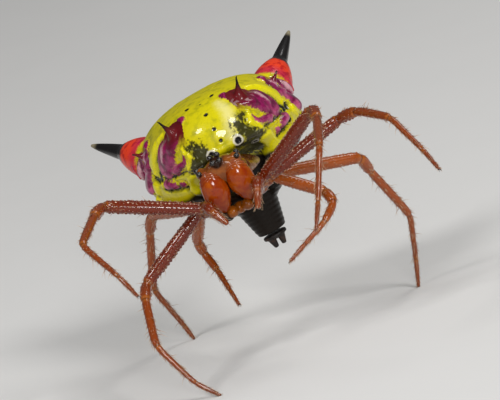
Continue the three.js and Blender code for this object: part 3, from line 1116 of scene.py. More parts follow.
@dataclass
class Bristles:
    """The bristles of one limb as joined mesh, each with its own patch in the limb's unwrap.

    bow is how far a tip bends over, as a share of its length, and stray how far a bristle may lean off the
    rest in degrees and to the sides.
    """

    seed: int
    strip: int
    strips: int
    patch: float = 0.003
    bow: float = 0.22
    stray: tuple[float, float] = (6.0, 0.12)
    lengths: tuple[float, float] = (0.65, 1.15)
    rows: list[tuple[Array, ...]] = field(default_factory=list)

    def __post_init__(self) -> None:
        """Starts the seeded random draw."""
        self.rng = np.random.default_rng(self.seed)

    def grow(self, path: LimbPath, radius: Profile, zone: BristleZone) -> None:
        """Sets the bristles of one zone on a limb.

        Args:
            path: The limb's line.
            radius: Gives the limb's radius at lengths along it.
            zone: The zone.
        """
        count = max(2, round((zone.end - zone.start) * zone.density))
        reach = np.sort(self.rng.uniform(zone.start, zone.end, count))
        angle = self.rng.uniform(0, 2 * np.pi, count)
        centres, tangents, uppers, sides = path.frames(reach)
        out = spokes(angle, uppers, sides)
        around = np.cross(tangents, out)
        lean = np.radians(zone.lean + self.rng.normal(0, self.stray[0], count))[:, None]
        sway = self.rng.normal(0, self.stray[1], count)[:, None]
        way = unit(out * np.sin(lean) + tangents * np.cos(lean) + around * sway)
        forward = unit(tangents - way * (tangents * way).sum(axis=1, keepdims=True))
        turns = np.stack([forward, np.cross(way, forward), way], axis=2)
        length = zone.length * self.rng.uniform(*self.lengths, count)
        thick = np.full(count, zone.radius)
        roots = centres + out * (radius(reach) - zone.radius)[:, None]
        across = (self.strip + angle / (2 * np.pi)) / self.strips
        places = np.stack([across, reach / path.reaches[-1]], axis=1)
        self.rows.append((turns, roots, np.stack([thick, thick, length], axis=1), places))

    @staticmethod
    def _hair() -> tuple[Array, list[tuple[int, ...]]]:
        """Models one bristle of three sides, one unit long along z and thick in the same measure across.

        Returns:
            Its points and faces.
        """
        rings = ((0.0, 1.0), (0.35, 0.85), (0.7, 0.55))
        points = [
            (radius * math.cos(turn), radius * math.sin(turn), height)
            for height, radius in rings
            for turn in (0, 2 * math.pi / 3, 4 * math.pi / 3)
        ]
        faces = [(0, 2, 1)]
        for ring in (0, 3):
            faces += [(ring + i, ring + (i + 1) % 3, ring + 3 + (i + 1) % 3, ring + 3 + i) for i in range(3)]
        faces += [(6 + i, 6 + (i + 1) % 3, 9) for i in range(3)]
        return np.array([*points, (0, 0, 1.0)]), faces

    def build(
        self, name: str, turn: Matrix, finishes: Finishes, floor: float | None = None
    ) -> Piece:
        """Makes the bristles' mesh.

        Args:
            name: The piece's name.
            turn: The frame that the limb is in.
            finishes: The spider's materials.
            floor: The height that no bristle goes below, if any.

        Returns:
            The bristles.
        """
        turns, roots, sizes, places = (np.concatenate(parts) for parts in zip(*self.rows))
        hair, faces = self._hair()
        piece = Scatter(name, hair, faces).laid(turns, roots, sizes)
        share = np.tile(hair[:, 2], len(roots))
        bend = np.repeat(turns[:, :, 0] * (sizes[:, 2] * self.bow)[:, None], len(hair), axis=0)
        Bench.place(piece, Bench.points(piece) + bend * (share**2)[:, None])
        if floor is not None:
            Bench.lift(piece, floor)
        Bench.record(piece, "tip", share)
        corners = np.empty(len(piece.data.loops), dtype=np.int32)
        piece.data.loops.foreach_get("vertex_index", corners)
        across = np.tile(hair[:, 0], len(roots)) * self.patch / 2
        patches = np.repeat(places, len(hair), axis=0) + np.stack([across, share * self.patch], axis=1)
        layer = piece.data.uv_layers.new(name="OFBake")
        layer.uv.foreach_set("vector", np.clip(patches[corners], 0, 1).astype(np.float32).ravel())
        return Bench.finish(piece, turn, finishes.bristle, Slot.LEG)


@dataclass(frozen=True)
class LegSize:
    """The sizes of one leg.

    shafts holds the lengths from the femur to the tarsus, stout how stout the leg is beside the first one,
    and hips where the coxa starts and ends and where the trochanter ends, on the left.
    """

    shafts: tuple[float, float, float, float, float]
    stout: float
    hips: tuple[Point, Point, Point]


LEG_SIZES = {
    1: LegSize(
        shafts=(2.8, 0.9, 1.9, 1.65, 0.85),
        stout=1.0,
        hips=((0.4, -0.42, -0.42), (0.74, -0.7, -0.3), (0.92, -0.84, -0.14)),
    ),
    2: LegSize(
        shafts=(2.5, 0.8, 1.6, 1.5, 0.85),
        stout=0.97,
        hips=((0.46, -0.06, -0.46), (0.88, -0.16, -0.36), (1.1, -0.22, -0.25)),
    ),
    3: LegSize(
        shafts=(1.6, 0.5, 0.75, 0.85, 0.65),
        stout=0.92,
        hips=((0.46, 0.34, -0.48), (0.9, 0.38, -0.42), (1.12, 0.4, -0.35)),
    ),
    4: LegSize(
        shafts=(2.85, 0.75, 1.95, 1.65, 0.8),
        stout=0.97,
        hips=((0.4, 0.76, -0.46), (0.78, 0.9, -0.42), (0.98, 0.98, -0.35)),
    ),
}

# How each leg stands, as (turn, rise) in degrees for each shaft from the femur to the tarsus. Turn 0 is
# straight out to the leg's own side and 90 is forward. A standing leg's last shaft runs on to the floor.
STANCES = {
    (Side.LEFT, 1): ((34, 38), (88, -8), (95, -12), (117, -52), (117, -47)),
    (Side.RIGHT, 1): ((-3, 17), (72, -3), (75, -10), (122, -31), (129, -45)),
    (Side.LEFT, 2): ((-5, 23), (49, 13), (60, -6), (60, -38), (65, -40)),
    (Side.RIGHT, 2): ((8, -37), (81, -20), (88, -42), (160, -57), (171, -40)),
    (Side.LEFT, 3): ((17, -29), (71, -33), (125, -27), (173, -32), (173, -33)),
    (Side.RIGHT, 3): ((-76, -39), (-110, -60), (115, -40), (106, -37), (104, -32)),
    (Side.LEFT, 4): ((-17, -8), (-72, -47), (-39, -59), (-101, -60), (133, -75)),
    (Side.RIGHT, 4): ((-58, -5), (-68, -48), (-61, -66), (-128, -58), (154, -66)),
}
STANDING = {(Side.RIGHT, 2), (Side.LEFT, 4), (Side.RIGHT, 4)}


@dataclass(frozen=True)
class KnobRows:
    """Rows of knobs round one shaft: the shaft's number from the coxa, how many rows, and a row's pitch."""

    shaft: int
    rows: int
    pitch: float


@dataclass(frozen=True)
class KnobStyle:
    """How the knobs of a leg look: their size, how sunk they are, and how far they stray from their rows."""

    size: Point = (0.034, 0.042, 0.036)
    sizes: tuple[float, float] = (0.7, 1.15)
    sunk: float = 0.008
    margin: float = 0.1
    stray: float = 0.02
    swing: float = 0.12
    hind_share: float = 0.65


@dataclass(frozen=True)
class ClawStyle:
    """The sizes of the pair of fine claws at a tip: where each starts, bends and ends, and its thickness."""

    back: float = 0.03
    root_gap: float = 0.02
    bend: tuple[float, float, float] = (0.07, 0.012, 0.006)
    hook: tuple[float, float] = (0.015, 0.045)
    radius: float = 0.014
    tip: float = 0.002


@dataclass
class Leg(Part):
    """One leg as a single skin from the coxa to the tip of the foot, with its knobs, claws and bristles."""

    side: Side
    order: int
    around: int = 24
    rings: int = 420
    neck_depth: float = 0.13
    neck_width: float = 0.05
    neck_tint: float = 0.09
    clearance: float = 0.002
    blur: tuple[float, ...] = (-0.06, -0.03, 0.0, 0.03, 0.06)
    radii: tuple[Point, ...] = (
        (0.16, 0.24, 0.21),
        (0.18, 0.21, 0.18),
        (0.15, 0.185, 0.165),
        (0.145, 0.165, 0.145),
        (0.12, 0.124, 0.108),
        (0.092, 0.082, 0.072),
        (0.07, 0.062, 0.04),
    )
    knob_rows: tuple[KnobRows, ...] = (KnobRows(2, 9, 0.115), KnobRows(3, 5, 0.16))
    knob: KnobStyle = KnobStyle()
    claw: ClawStyle = ClawStyle()

    @property
    def name(self) -> str:
        """The leg's name, with its side and order."""
        return f"{self.side.word}_{self.order}"

    @property
    def index(self) -> int:
        """The leg's number from 0 to 7."""
        return self.order - 1 + (4 if self.side is Side.RIGHT else 0)

    @property
    def fore(self) -> bool:
        """Whether it is one of the darker, rougher front legs."""
        return self.order < 3

    def __post_init__(self) -> None:
        """Lays out the leg's line and picks its finish."""
        self.path = LimbPath(self.joints(), cap=0.05)
        self.material = self.finishes.fore_leg if self.fore else self.finishes.hind_leg

    def joints(self) -> list[Vector]:
        """Finds the leg's joints over the floor.

        Returns:
            The joints from the coxa's root to the tip.
        """
        size = LEG_SIZES[self.order]
        stands = (self.side, self.order) in STANDING
        head = self.frames["floor"].inverted() @ self.frames["head"]
        joints = [head @ Vector(self.side.flip(hip)) for hip in size.hips]
        last = len(size.shafts) - 1
        for shaft, (length, angles) in enumerate(zip(size.shafts, STANCES[(self.side, self.order)])):
            turn, rise = (math.radians(angle) for angle in angles)
            flat = math.cos(rise)
            way = Vector(self.side.flip((flat * math.cos(turn), -flat * math.sin(turn), math.sin(rise))))
            reach = -joints[-1].z / way.z if stands and shaft == last else length
            joints.append(joints[-1] + way * reach)
        return joints

    def radius(self, reach: Array) -> Array:
        """Finds the skin's radius along the leg, drawn in at each joint.

        Args:
            reach: Lengths along the leg's line.

        Returns:
            The radii.
        """
        stout, marks = LEG_SIZES[self.order].stout, self.path.marks
        thickness = np.zeros_like(reach)
        for start, end, radii in zip(marks, marks[1:], self.radii):
            inside = (reach >= start) & (reach <= end)
            thickness[inside] = stout * swell(radii, (reach[inside] - start) / (end - start))
        blurred = np.mean([np.interp(reach + shift, reach, thickness) for shift in self.blur], axis=0)
        return blurred * (1 - self.neck_depth * self.path.necks(reach, self.neck_width))

    def build(self) -> list[Piece]:
        """Makes the leg's skin, knobs, claws and bristles.

        Returns:
            The pieces.
        """
        return [self._skin(), self._knobs(), self._claws(), self._bristles()]

    def _skin(self) -> Piece:
        """Makes the skin, with its standing foot flat on the floor.

        Returns:
            The skin.
        """
        reach = self.path.spread(self.rings)
        notes = {"along": reach / reach[-1], "neck": self.path.necks(reach, self.neck_tint)}
        skin = self.path.tube(f"leg_{self.name}", self.around, self.rings, self.radius, notes)
        Bench.lift(skin, 0)
        nodes = [f"{piece}_{self.name}" for piece in ("hip", "femur", "patella", "tibia", "foot")]
        return Bench.finish(skin, self.frames["floor"], self.material, Slot.LEG, *nodes)

    def _knobs(self) -> Piece:
        """Makes rows of small glossy knobs along the femur and the patella, finer on the hind legs, with
        painted highlights on the tips of the upper knobs.

        Returns:
            The knobs.
        """
        rng = np.random.default_rng(40 + self.index)
        path, style = self.path, self.knob
        reaches, angles = [], []
        for row in self.knob_rows:
            low, high = path.marks[row.shaft] + style.margin, path.marks[row.shaft + 1] - style.margin
            for turn in range(row.rows):
                steps = np.arange(low + rng.uniform(0, row.pitch), high, row.pitch)
                reaches.append(steps + rng.uniform(-style.stray, style.stray, len(steps)))
                swing = rng.uniform(-style.swing, style.swing, len(steps))
                angles.append(2 * np.pi * turn / row.rows + swing)
        reach, angle = np.concatenate(reaches), np.concatenate(angles)
        order = np.argsort(reach)
        reach, angle = reach[order], angle[order]
        centres, tangents, uppers, sides = path.frames(reach)
        out = spokes(angle, uppers, sides)
        turns = np.stack([np.cross(tangents, out), tangents, out], axis=2)
        coarse = 1.0 if self.fore else style.hind_share
        size = rng.uniform(*style.sizes, len(reach))[:, None] * np.array(style.size) * coarse
        roots = centres + out * (self.radius(reach) - style.sunk)[:, None]
        ball = Scatter.ball(f"knobs_{self.name}")
        knobs = ball.laid(turns, roots, size)
        Bench.record(knobs, "along", np.repeat(reach / path.reaches[-1], len(ball.points)))
        # Painted highlight: knobs that face up get pale tips that stand for their glints
        lit = smooth(-0.6, 0.9, np.cos(angle)) * rng.uniform(0.5, 1.0, len(reach))
        Bench.record(knobs, "pearl", np.outer(lit, ball.points[:, 2]).ravel())
        return Bench.finish(knobs, self.frames["floor"], self.material, Slot.LEG)

    def _claws(self) -> Piece:
        """Makes the pair of fine claws at the tip.

        Returns:
            The claws.
        """
        style, length = self.claw, self.path.reaches[-1]
        centres, tangents, _, _ = self.path.frames(np.array([length - style.back, length]))
        tip, way = Vector(centres[0]), Vector(tangents[1]).normalized()
        plumb = Vector((0, 0, -1))
        down = (plumb - way * way.dot(plumb)).normalized()
        across = way.cross(down)
        onward, gap, sag = style.bend
        claws = []
        for side in Side:
            start = tip + across * style.root_gap * side.value
            middle = start + way * onward + across * gap * side.value - down * sag
            end = middle + way * style.hook[0] + down * style.hook[1]
            claws.append(self._claw(LimbPath([start, middle, end], bend=0.03, cap=0.004)))
        piece = Bench.join(f"claws_{self.name}", claws)
        Bench.lift(piece, self.clearance)
        return Bench.finish(piece, self.frames["floor"], self.finishes.dark, Slot.DARK)

    def _claw(self, bow: LimbPath) -> Piece:
        """Makes one claw, thin at its tip.

        Args:
            bow: The claw's line.

        Returns:
            The claw.
        """
        length = bow.reaches[-1]
        return bow.tube("claw", 10, 40, lambda reach: self.claw.radius * (1 - reach / length) + self.claw.tip)

    def _bristles(self) -> Piece:
        """Makes fine bristles that lean towards the foot, and a few long upright hairs.

        Returns:
            The bristles.
        """
        marks = self.path.marks
        zones = (
            BristleZone(marks[0], marks[2], density=40, length=0.1, lean=35, radius=0.0075),
            BristleZone(marks[2], marks[3], density=55, length=0.11, lean=38, radius=0.007),
            BristleZone(marks[3], marks[4], density=50, length=0.13, lean=42, radius=0.007),
            BristleZone(marks[4], marks[5], density=70, length=0.15, lean=40, radius=0.0065),
            BristleZone(marks[5], marks[6], density=90, length=0.14, lean=38, radius=0.006),
            BristleZone(marks[6], marks[7] - 0.02, density=130, length=0.11, lean=34, radius=0.0055),
            BristleZone(marks[2] + 0.4, marks[3], density=2.5, length=0.28, lean=62, radius=0.008),
            BristleZone(marks[3], marks[6], density=4.5, length=0.3, lean=66, radius=0.0075),
        )
        coat = Bristles(seed=10 + self.index, strip=self.index, strips=8)
        for zone in zones:
            coat.grow(self.path, self.radius, zone)
        return coat.build(f"bristles_{self.name}", self.frames["floor"], self.finishes, self.clearance)


@dataclass(frozen=True)
class Mark:
    """A marking: a chain of points with a radius each, the same on both sides.

    Each stop is (x from the middle plane, y, z, radius).
    """

    stops: tuple[tuple[float, float, float, float], ...]

    def laid_on(self, skin: Piece, middle: float) -> "Mark":
        """The same marking with its stops moved onto the skin.

        Args:
            skin: The skin.
            middle: The x of the skin's middle plane.

        Returns:
            The moved marking.
        """
        laid = []
        for x, y, z, radius in self.stops:
            _, place, _, _ = skin.closest_point_on_mesh(Vector((x + middle, y, z)))
            laid.append((place.x - middle, place.y, place.z, radius))
        return Mark(tuple(laid))

    def distance(self, points: Array) -> Array:
        """How far points are from the marking's edge, below 0 inside it.

        Args:
            points: Places beside the middle plane, with x outwards.

        Returns:
            The distances.
        """
        chain = np.array(self.stops)
        if len(chain) == 1:
            return np.linalg.norm(points - chain[0, :3], axis=1) - chain[0, 3]
        best = np.full(len(points), np.inf)
        for start, end in zip(chain, chain[1:]):
            way = end[:3] - start[:3]
            share = np.clip((points - start[:3]) @ way / (way @ way), 0, 1)
            gap = np.linalg.norm(points - (start[:3] + share[:, None] * way), axis=1)
            best = np.minimum(best, gap - blend(start[3], end[3], share))
        return best


@dataclass
class Jaw(Part):
    """One chelicera with fine arcs round its root, and its fang.

    The chelicera is an egg, narrower towards its lower end and leaning forward as it rises.
    """

    side: Side
    centre: Point = (0.385, -1.03, 0.1)
    powers: Point = (2.2, 2.2, 2.2)
    half_width: float = 0.385
    half_depth: float = 0.4
    above: float = 0.7
    below: float = 0.62
    narrowing: float = 0.36
    lean: float = 0.08
    root_height: float = 0.06
    arcs: tuple[float, ...] = (0.42, 0.48, 0.54, 0.6)
    arc_pitch: float = 0.06
    arc_depth: float = 0.006
    arc_width: float = 0.014
    fang: tuple[Point, ...] = ((0.51, -1.02, -0.53), (0.42, -0.9, -0.73), (0.2, -0.76, -0.71))
    fang_radius: float = 0.105
    fang_tip: float = 0.012
    fang_taper: float = 0.8

    def build(self) -> list[Piece]:
        """Makes the chelicera and the fang.

        Returns:
            The pieces.
        """
        jaw = self._chelicera()
        solid = f"chelicera_{self.side.word}"
        return [
            Bench.finish(jaw, self.frames["head"], self.finishes.chelicera, Slot.CHELICERA, solid),
            self._fang(),
        ]

    def _chelicera(self) -> Piece:
        """Shapes the chelicera and keeps where it is pale and where darker: painted shade in the grooves of
        its arcs, and darker towards its lower end.

        Returns:
            The chelicera.
        """
        centre = np.array(self.side.flip(self.centre))

        def form(ways: Array) -> Array:
            """Shapes a ball into the egg, with low arcs round its root.

            Args:
                ways: The ball's points.

            Returns:
                The egg's points.
            """
            points = square_off(ways, self.powers)
            slim = 1 - self.narrowing * smooth(-0.05, 1, -points[:, 2])
            tall = np.where(points[:, 2] > 0, self.above, self.below)
            scaled = points * np.stack([self.half_width * slim, self.half_depth * slim, tall], axis=1)
            scaled[:, 1] -= self.lean * points[:, 2]
            far = np.hypot(scaled[:, 0], scaled[:, 2] - self.root_height)
            collar = smooth(0.38, 0.44, far) * smooth(0.0, 0.2, scaled[:, 2]) * (points[:, 1] < 0.3)
            first = self.arcs[0] - self.arc_pitch / 2
            arcs = self.arc_depth * np.cos(2 * np.pi * (far - first) / self.arc_pitch) * collar
            return scaled * (1 + arcs / self.half_depth)[:, None] + centre

        jaw = Bench.ball(f"jaw_{self.side.word}", 112, 96, form)
        points = Bench.points(jaw)
        far = np.hypot(points[:, 0] - centre[0], points[:, 2] - centre[2] - self.root_height)
        upper = smooth(0.1, 0.3, points[:, 2])
        arcs = sum(hump(far, arc, self.arc_width) for arc in self.arcs)
        # Painted shade in the grooves of the arcs, and darker towards the lower end
        Bench.record(jaw, "groove", 0.45 * arcs * upper + 0.4 * smooth(0.0, -0.5, points[:, 2]))
        Bench.record(jaw, "pale", smooth(0.4, 0.6, far) * upper * 0.3)
        return jaw

    def _fang(self) -> Piece:
        """Makes the fang, folded in below the chelicera.

        Returns:
            The fang.
        """
        path = LimbPath([Vector(self.side.flip(place)) for place in self.fang], bend=0.12, cap=0.02)
        length = path.reaches[-1]

        def radius(reach: Array) -> Array:
            """The fang's radius, drawn out to a point."""
            return self.fang_radius * (1 - reach / length) ** self.fang_taper + self.fang_tip

        word = self.side.word
        claw = path.tube(f"fang_skin_{word}", 20, 50, radius)
        return Bench.finish(claw, self.frames["head"], self.finishes.dark, Slot.DARK, f"fang_{word}")


@dataclass
class Palp(Part):
    """One feeler beside the jaws, with its bristles."""

    side: Side
    rings: int = 160
    radii: Point = (0.15, 0.16, 0.07)
    neck_width: float = 0.07
    neck_depth: float = 0.2
    bare: float = 0.4
    dense_from: float = 0.6
    joints: tuple[Point, ...] = (
        (0.62, -0.72, -0.42),
        (0.8, -1.3, -0.12),
        (0.78, -1.62, -0.02),
        (0.68, -1.86, -0.22),
        (0.46, -1.98, -0.68),
    )

    def build(self) -> list[Piece]:
        """Makes the palp and its bristles.

        Returns:
            The pieces.
        """
        word = self.side.word
        path = LimbPath([Vector(self.side.flip(joint)) for joint in self.joints], bend=0.15, cap=0.05)
        length = path.reaches[-1]
        reach = path.spread(self.rings)
        neck = path.necks(reach, self.neck_width)
        notes = {"along": 0.1 + 0.4 * reach / length, "neck": neck * 0.4}

        def radius(at: Array) -> Array:
            """The palp's radius, drawn in at each joint."""
            return swell(self.radii, at / length) * (1 - self.neck_depth * np.interp(at, reach, neck))

        feeler = path.tube(f"palp_skin_{word}", 20, self.rings, radius, notes)
        skin = Bench.finish(feeler, self.frames["head"], self.finishes.fore_leg, Slot.LEG, f"palp_{word}")
        dense = length * self.dense_from
        zones = (
            BristleZone(self.bare, dense, density=45, length=0.12, lean=40, radius=0.006),
            BristleZone(dense, length - 0.02, density=90, length=0.15, lean=36, radius=0.006),
        )
        coat = Bristles(seed=30 + self.side.value, strip=0 if self.side is Side.LEFT else 1, strips=2)
        for zone in zones:
            coat.grow(path, radius, zone)
        return [skin, coat.build(f"palp_bristles_{word}", self.frames["head"], self.finishes)]


@dataclass
class Underside(Part):
    """The sternum, the mouthparts and the stalk between head and abdomen."""

    breast_centre: Point = (0.0, 0.28, -0.5)
    breast_radii: Point = (0.5, 0.875, 0.21)
    breast_powers: Point = (2.6, 2.6, 2.6)
    breast_taper: float = 0.45
    lip: tuple[Point, Point] = ((0.0, -0.74, -0.58), (0.2, 0.16, 0.17))
    lobe: tuple[Point, Point] = ((0.24, -0.86, -0.58), (0.2, 0.26, 0.17))
    stalk: tuple[Point, ...] = ((0.34, 1.4, 0.28), (0.34, 1.8, 0.28), (0.34, 2.2, 0.28))
    stalk_radius: float = 0.17
    stalk_fold: float = 0.015
    stalk_folds: float = 40.0

    def build(self) -> list[Piece]:
        """Makes the sternum, the mouthparts and the stalk.

        Returns:
            The pieces.
        """
        sternum = Bench.ball("sternum_plate", 64, 32, self._breast)
        lobes = [Bench.lump(side.flip(self.lobe[0]), self.lobe[1]) for side in Side]
        mouth = Bench.fuse("mouth_plates", [Bench.lump(*self.lip), *lobes], 0.025, 2)
        path = LimbPath([Vector(place) for place in self.stalk], cap=0.05)
        stalk = path.tube("pedicel_stalk", 32, 60, self._folds)
        return [
            Bench.finish(sternum, self.frames["head"], self.finishes.dark, Slot.DARK, "sternum"),
            Bench.finish(mouth, self.frames["head"], self.finishes.carapace, Slot.CARAPACE, "mouthparts"),
            Bench.finish(stalk, self.frames["head"], self.finishes.dark, Slot.DARK, "pedicel"),
        ]

    def _breast(self, ways: Array) -> Array:
        """Shapes a ball into the heart-shaped plate, narrow at its rear.

        Args:
            ways: The ball's points.

        Returns:
            The plate's points.
        """
        points = square_off(ways, self.breast_powers)
        points[:, 0] *= 1 - self.breast_taper * smooth(-0.1, 1, points[:, 1])
        return points * np.array(self.breast_radii) + np.array(self.breast_centre)

    def _folds(self, reach: Array) -> Array:
        """The stalk's radius, with its ring-shaped folds."""
        return self.stalk_radius + self.stalk_fold * np.cos(reach * self.stalk_folds)


@dataclass
class Head(Part):
    """The shield over head and thorax with its knobs and eyes, and the jaws, palps and plates on it."""

    swing: float = 0.11
    squareness: float = 0.8
    roof: float = 0.4
    rim: float = 0.1
    inset: float = 0.04
    grain: float = 0.024
    stations: tuple[Station, ...] = (
        (-1.26, 0.5, 0.82, 0.42),
        (-1.1, 0.6, 0.95, 0.25),
        (-0.75, 0.67, 0.96, 0.12),
        (-0.35, 0.72, 0.85, 0.06),
        (0.1, 0.8, 0.72, 0.04),
        (0.6, 0.84, 0.68, 0.04),
        (1.05, 0.78, 0.56, 0.06),
        (1.4, 0.62, 0.42, 0.1),
        (1.62, 0.38, 0.3, 0.16),
    )
    middle_knob: tuple[Point, Point] = ((0.0, -1.14, 0.89), (0.19, 0.21, 0.18))
    side_knob: tuple[Point, Point] = ((0.52, -0.98, 0.76), (0.16, 0.2, 0.17))
    eye_radius: float = 0.082
    eyes: tuple[tuple[str, Point], ...] = (
        ("front_middle", (0.1, -1.35, 0.93)),
        ("rear_middle", (0.11, -1.18, 1.08)),
        ("front_side", (0.58, -1.15, 0.8)),
        ("rear_side", (0.61, -1.0, 0.89)),
    )
    brow: Mark = Mark(((0.24, -1.18, 0.84, 0.0), (0.44, -1.06, 0.76, 0.0)))
    furrow: Mark = Mark(((0.7, -0.62, 0.3, 0.0), (0.45, -0.3, 0.74, 0.0), (0.1, 0.2, 0.72, 0.0)))
    dent: Mark = Mark(((0.0, 0.5, 0.68, 0.0), (0.0, 0.8, 0.64, 0.0)))

    def build(self) -> list[Piece]:
        """Makes all of the head's pieces.

        Returns:
            The pieces.
        """
        turn = self.frames["head"]
        knobs = [Bench.lump(*self.middle_knob)]
        knobs += [Bench.lump(side.flip(self.side_knob[0]), self.side_knob[1]) for side in Side]
        shield = Bench.fuse("carapace_skin", [self._shield(), *knobs], self.grain, 4)
        self._carve(shield)
        pieces = [Bench.finish(shield, turn, self.finishes.carapace, Slot.CARAPACE, "carapace")]
        for side in Side:
            pieces += [self._eye(side, *eye) for eye in self.eyes]
            pieces += Jaw(self.frames, self.finishes, side).build()
            pieces += Palp(self.frames, self.finishes, side).build()
        return pieces + Underside(self.frames, self.finishes).build()

    def _shield(self) -> Piece:
        """Lofts the shield from its stations.

        Returns:
            The shield.
        """
        first, last = self.stations[0][0], self.stations[-1][0]
        inset = self.inset

        def form(u: Array, v: Array) -> tuple[Array, dict[str, Array]]:
            """Puts each point of the grid on the section at its station, closing at both ends.

            Args:
                u: The share of the way round of each point.
                v: Its share of the way along.

            Returns:
                The places, and no numbers to keep.
            """
            y = first + (last - first) * np.clip((v - inset) / (1 - 2 * inset), 0, 1)
            half_width, top, edge = station_curve(list(self.stations), y).T
            shoulder = edge + self.rim
            angle = 2 * np.pi * u
            power = self.squareness + self.roof * smooth(-0.6, 0.2, y)
            across = -np.sign(np.cos(angle)) * np.abs(np.cos(angle)) ** power
            up = np.abs(np.sin(angle)) ** power
            closing = np.sqrt(np.clip(np.minimum(v, 1 - v) / inset, 0, 1))
            rise = np.where(np.sin(angle) > 0, up * (top - shoulder), -up * self.rim)
            x = self.swing * (y - first) + across * half_width * closing
            return np.stack([x, y, shoulder + rise * closing], axis=1), {}

        return Bench.wrap("shield", 96, 90, form)

    def _eye(self, side: Side, place: str, centre: Point) -> Piece:
        """Makes one eye.

        Args:
            side: The eye's side.
            place: Where it stands among the eyes of that side.
            centre: Its middle, given for the left.

        Returns:
            The eye.
        """
        middle = np.array(side.flip(centre))
        name = f"{place}_{side.word}"
        eye = Bench.ball(f"cornea_{name}", 24, 16, lambda ways: ways * self.eye_radius + middle)
        return Bench.finish(eye, self.frames["head"], self.finishes.eye, Slot.EYE, f"eye_{name}")

    def _carve(self, shield: Piece) -> None:
        """Raises the brows, sinks the furrows of the shield and keeps where it is dark and where pale: the
        black eye knob, and painted shade in the furrows and over the rear.

        Args:
            shield: The shield.
        """
        points = Bench.points(shield)
        x, y, z = points.T
        folded = np.stack([np.abs(x - self.swing * (y - self.stations[0][0])), y, z], axis=1)
        brow, furrow, dent = (mark.distance(folded) for mark in (self.brow, self.furrow, self.dent))
        height = 0.035 * hump(brow, 0, 0.06) - 0.05 * hump(furrow, 0, 0.07)
        height -= 0.06 * hump(dent, 0, 0.09)
        Bench.place(shield, points + Bench.normals(shield) * height[:, None])
        centre, radii = (np.array(part) for part in self.middle_knob)
        knob = np.linalg.norm((points - centre) / radii, axis=1)
        # Painted shade in the furrows and over the shield's rear; the eye knob is black of its own
        shade = np.maximum(0.85 * hump(furrow, 0, 0.12), 0.7 * smooth(-0.5, 0.4, y))
        Bench.record(shield, "groove", np.maximum(1 - smooth(0.95, 1.2, knob), shade))
        Bench.record(shield, "pale", smooth(0.36, 0.2, z) * smooth(-0.9, -0.4, y))


@dataclass(frozen=True)
class Spine:
    """One pair of spines: root, direction and sizes, with x from the abdomen's middle plane.

    foot is how much the base swells beside the shaft, and foot_end the share of the length where that ends.
    """

    root: Point
    aim: Point
    length: float
    radius: float
    flare: float
    sunk: float
    tip: float = 0.025
    foot: float = 0.0
    foot_end: float = 0.45

    def radius_at(self, along: Array) -> Array:
        """Finds the radius at shares of the length.

        Args:
            along: The shares, 0 at the root.

        Returns:
            The radii.
        """
        share = np.clip(along, 0, 1)
        shaft = self.tip + (self.radius - self.tip) * (1 - share) ** self.flare
        return shaft + self.foot * np.clip(1 - (share / self.foot_end) ** 2, 0, 1)
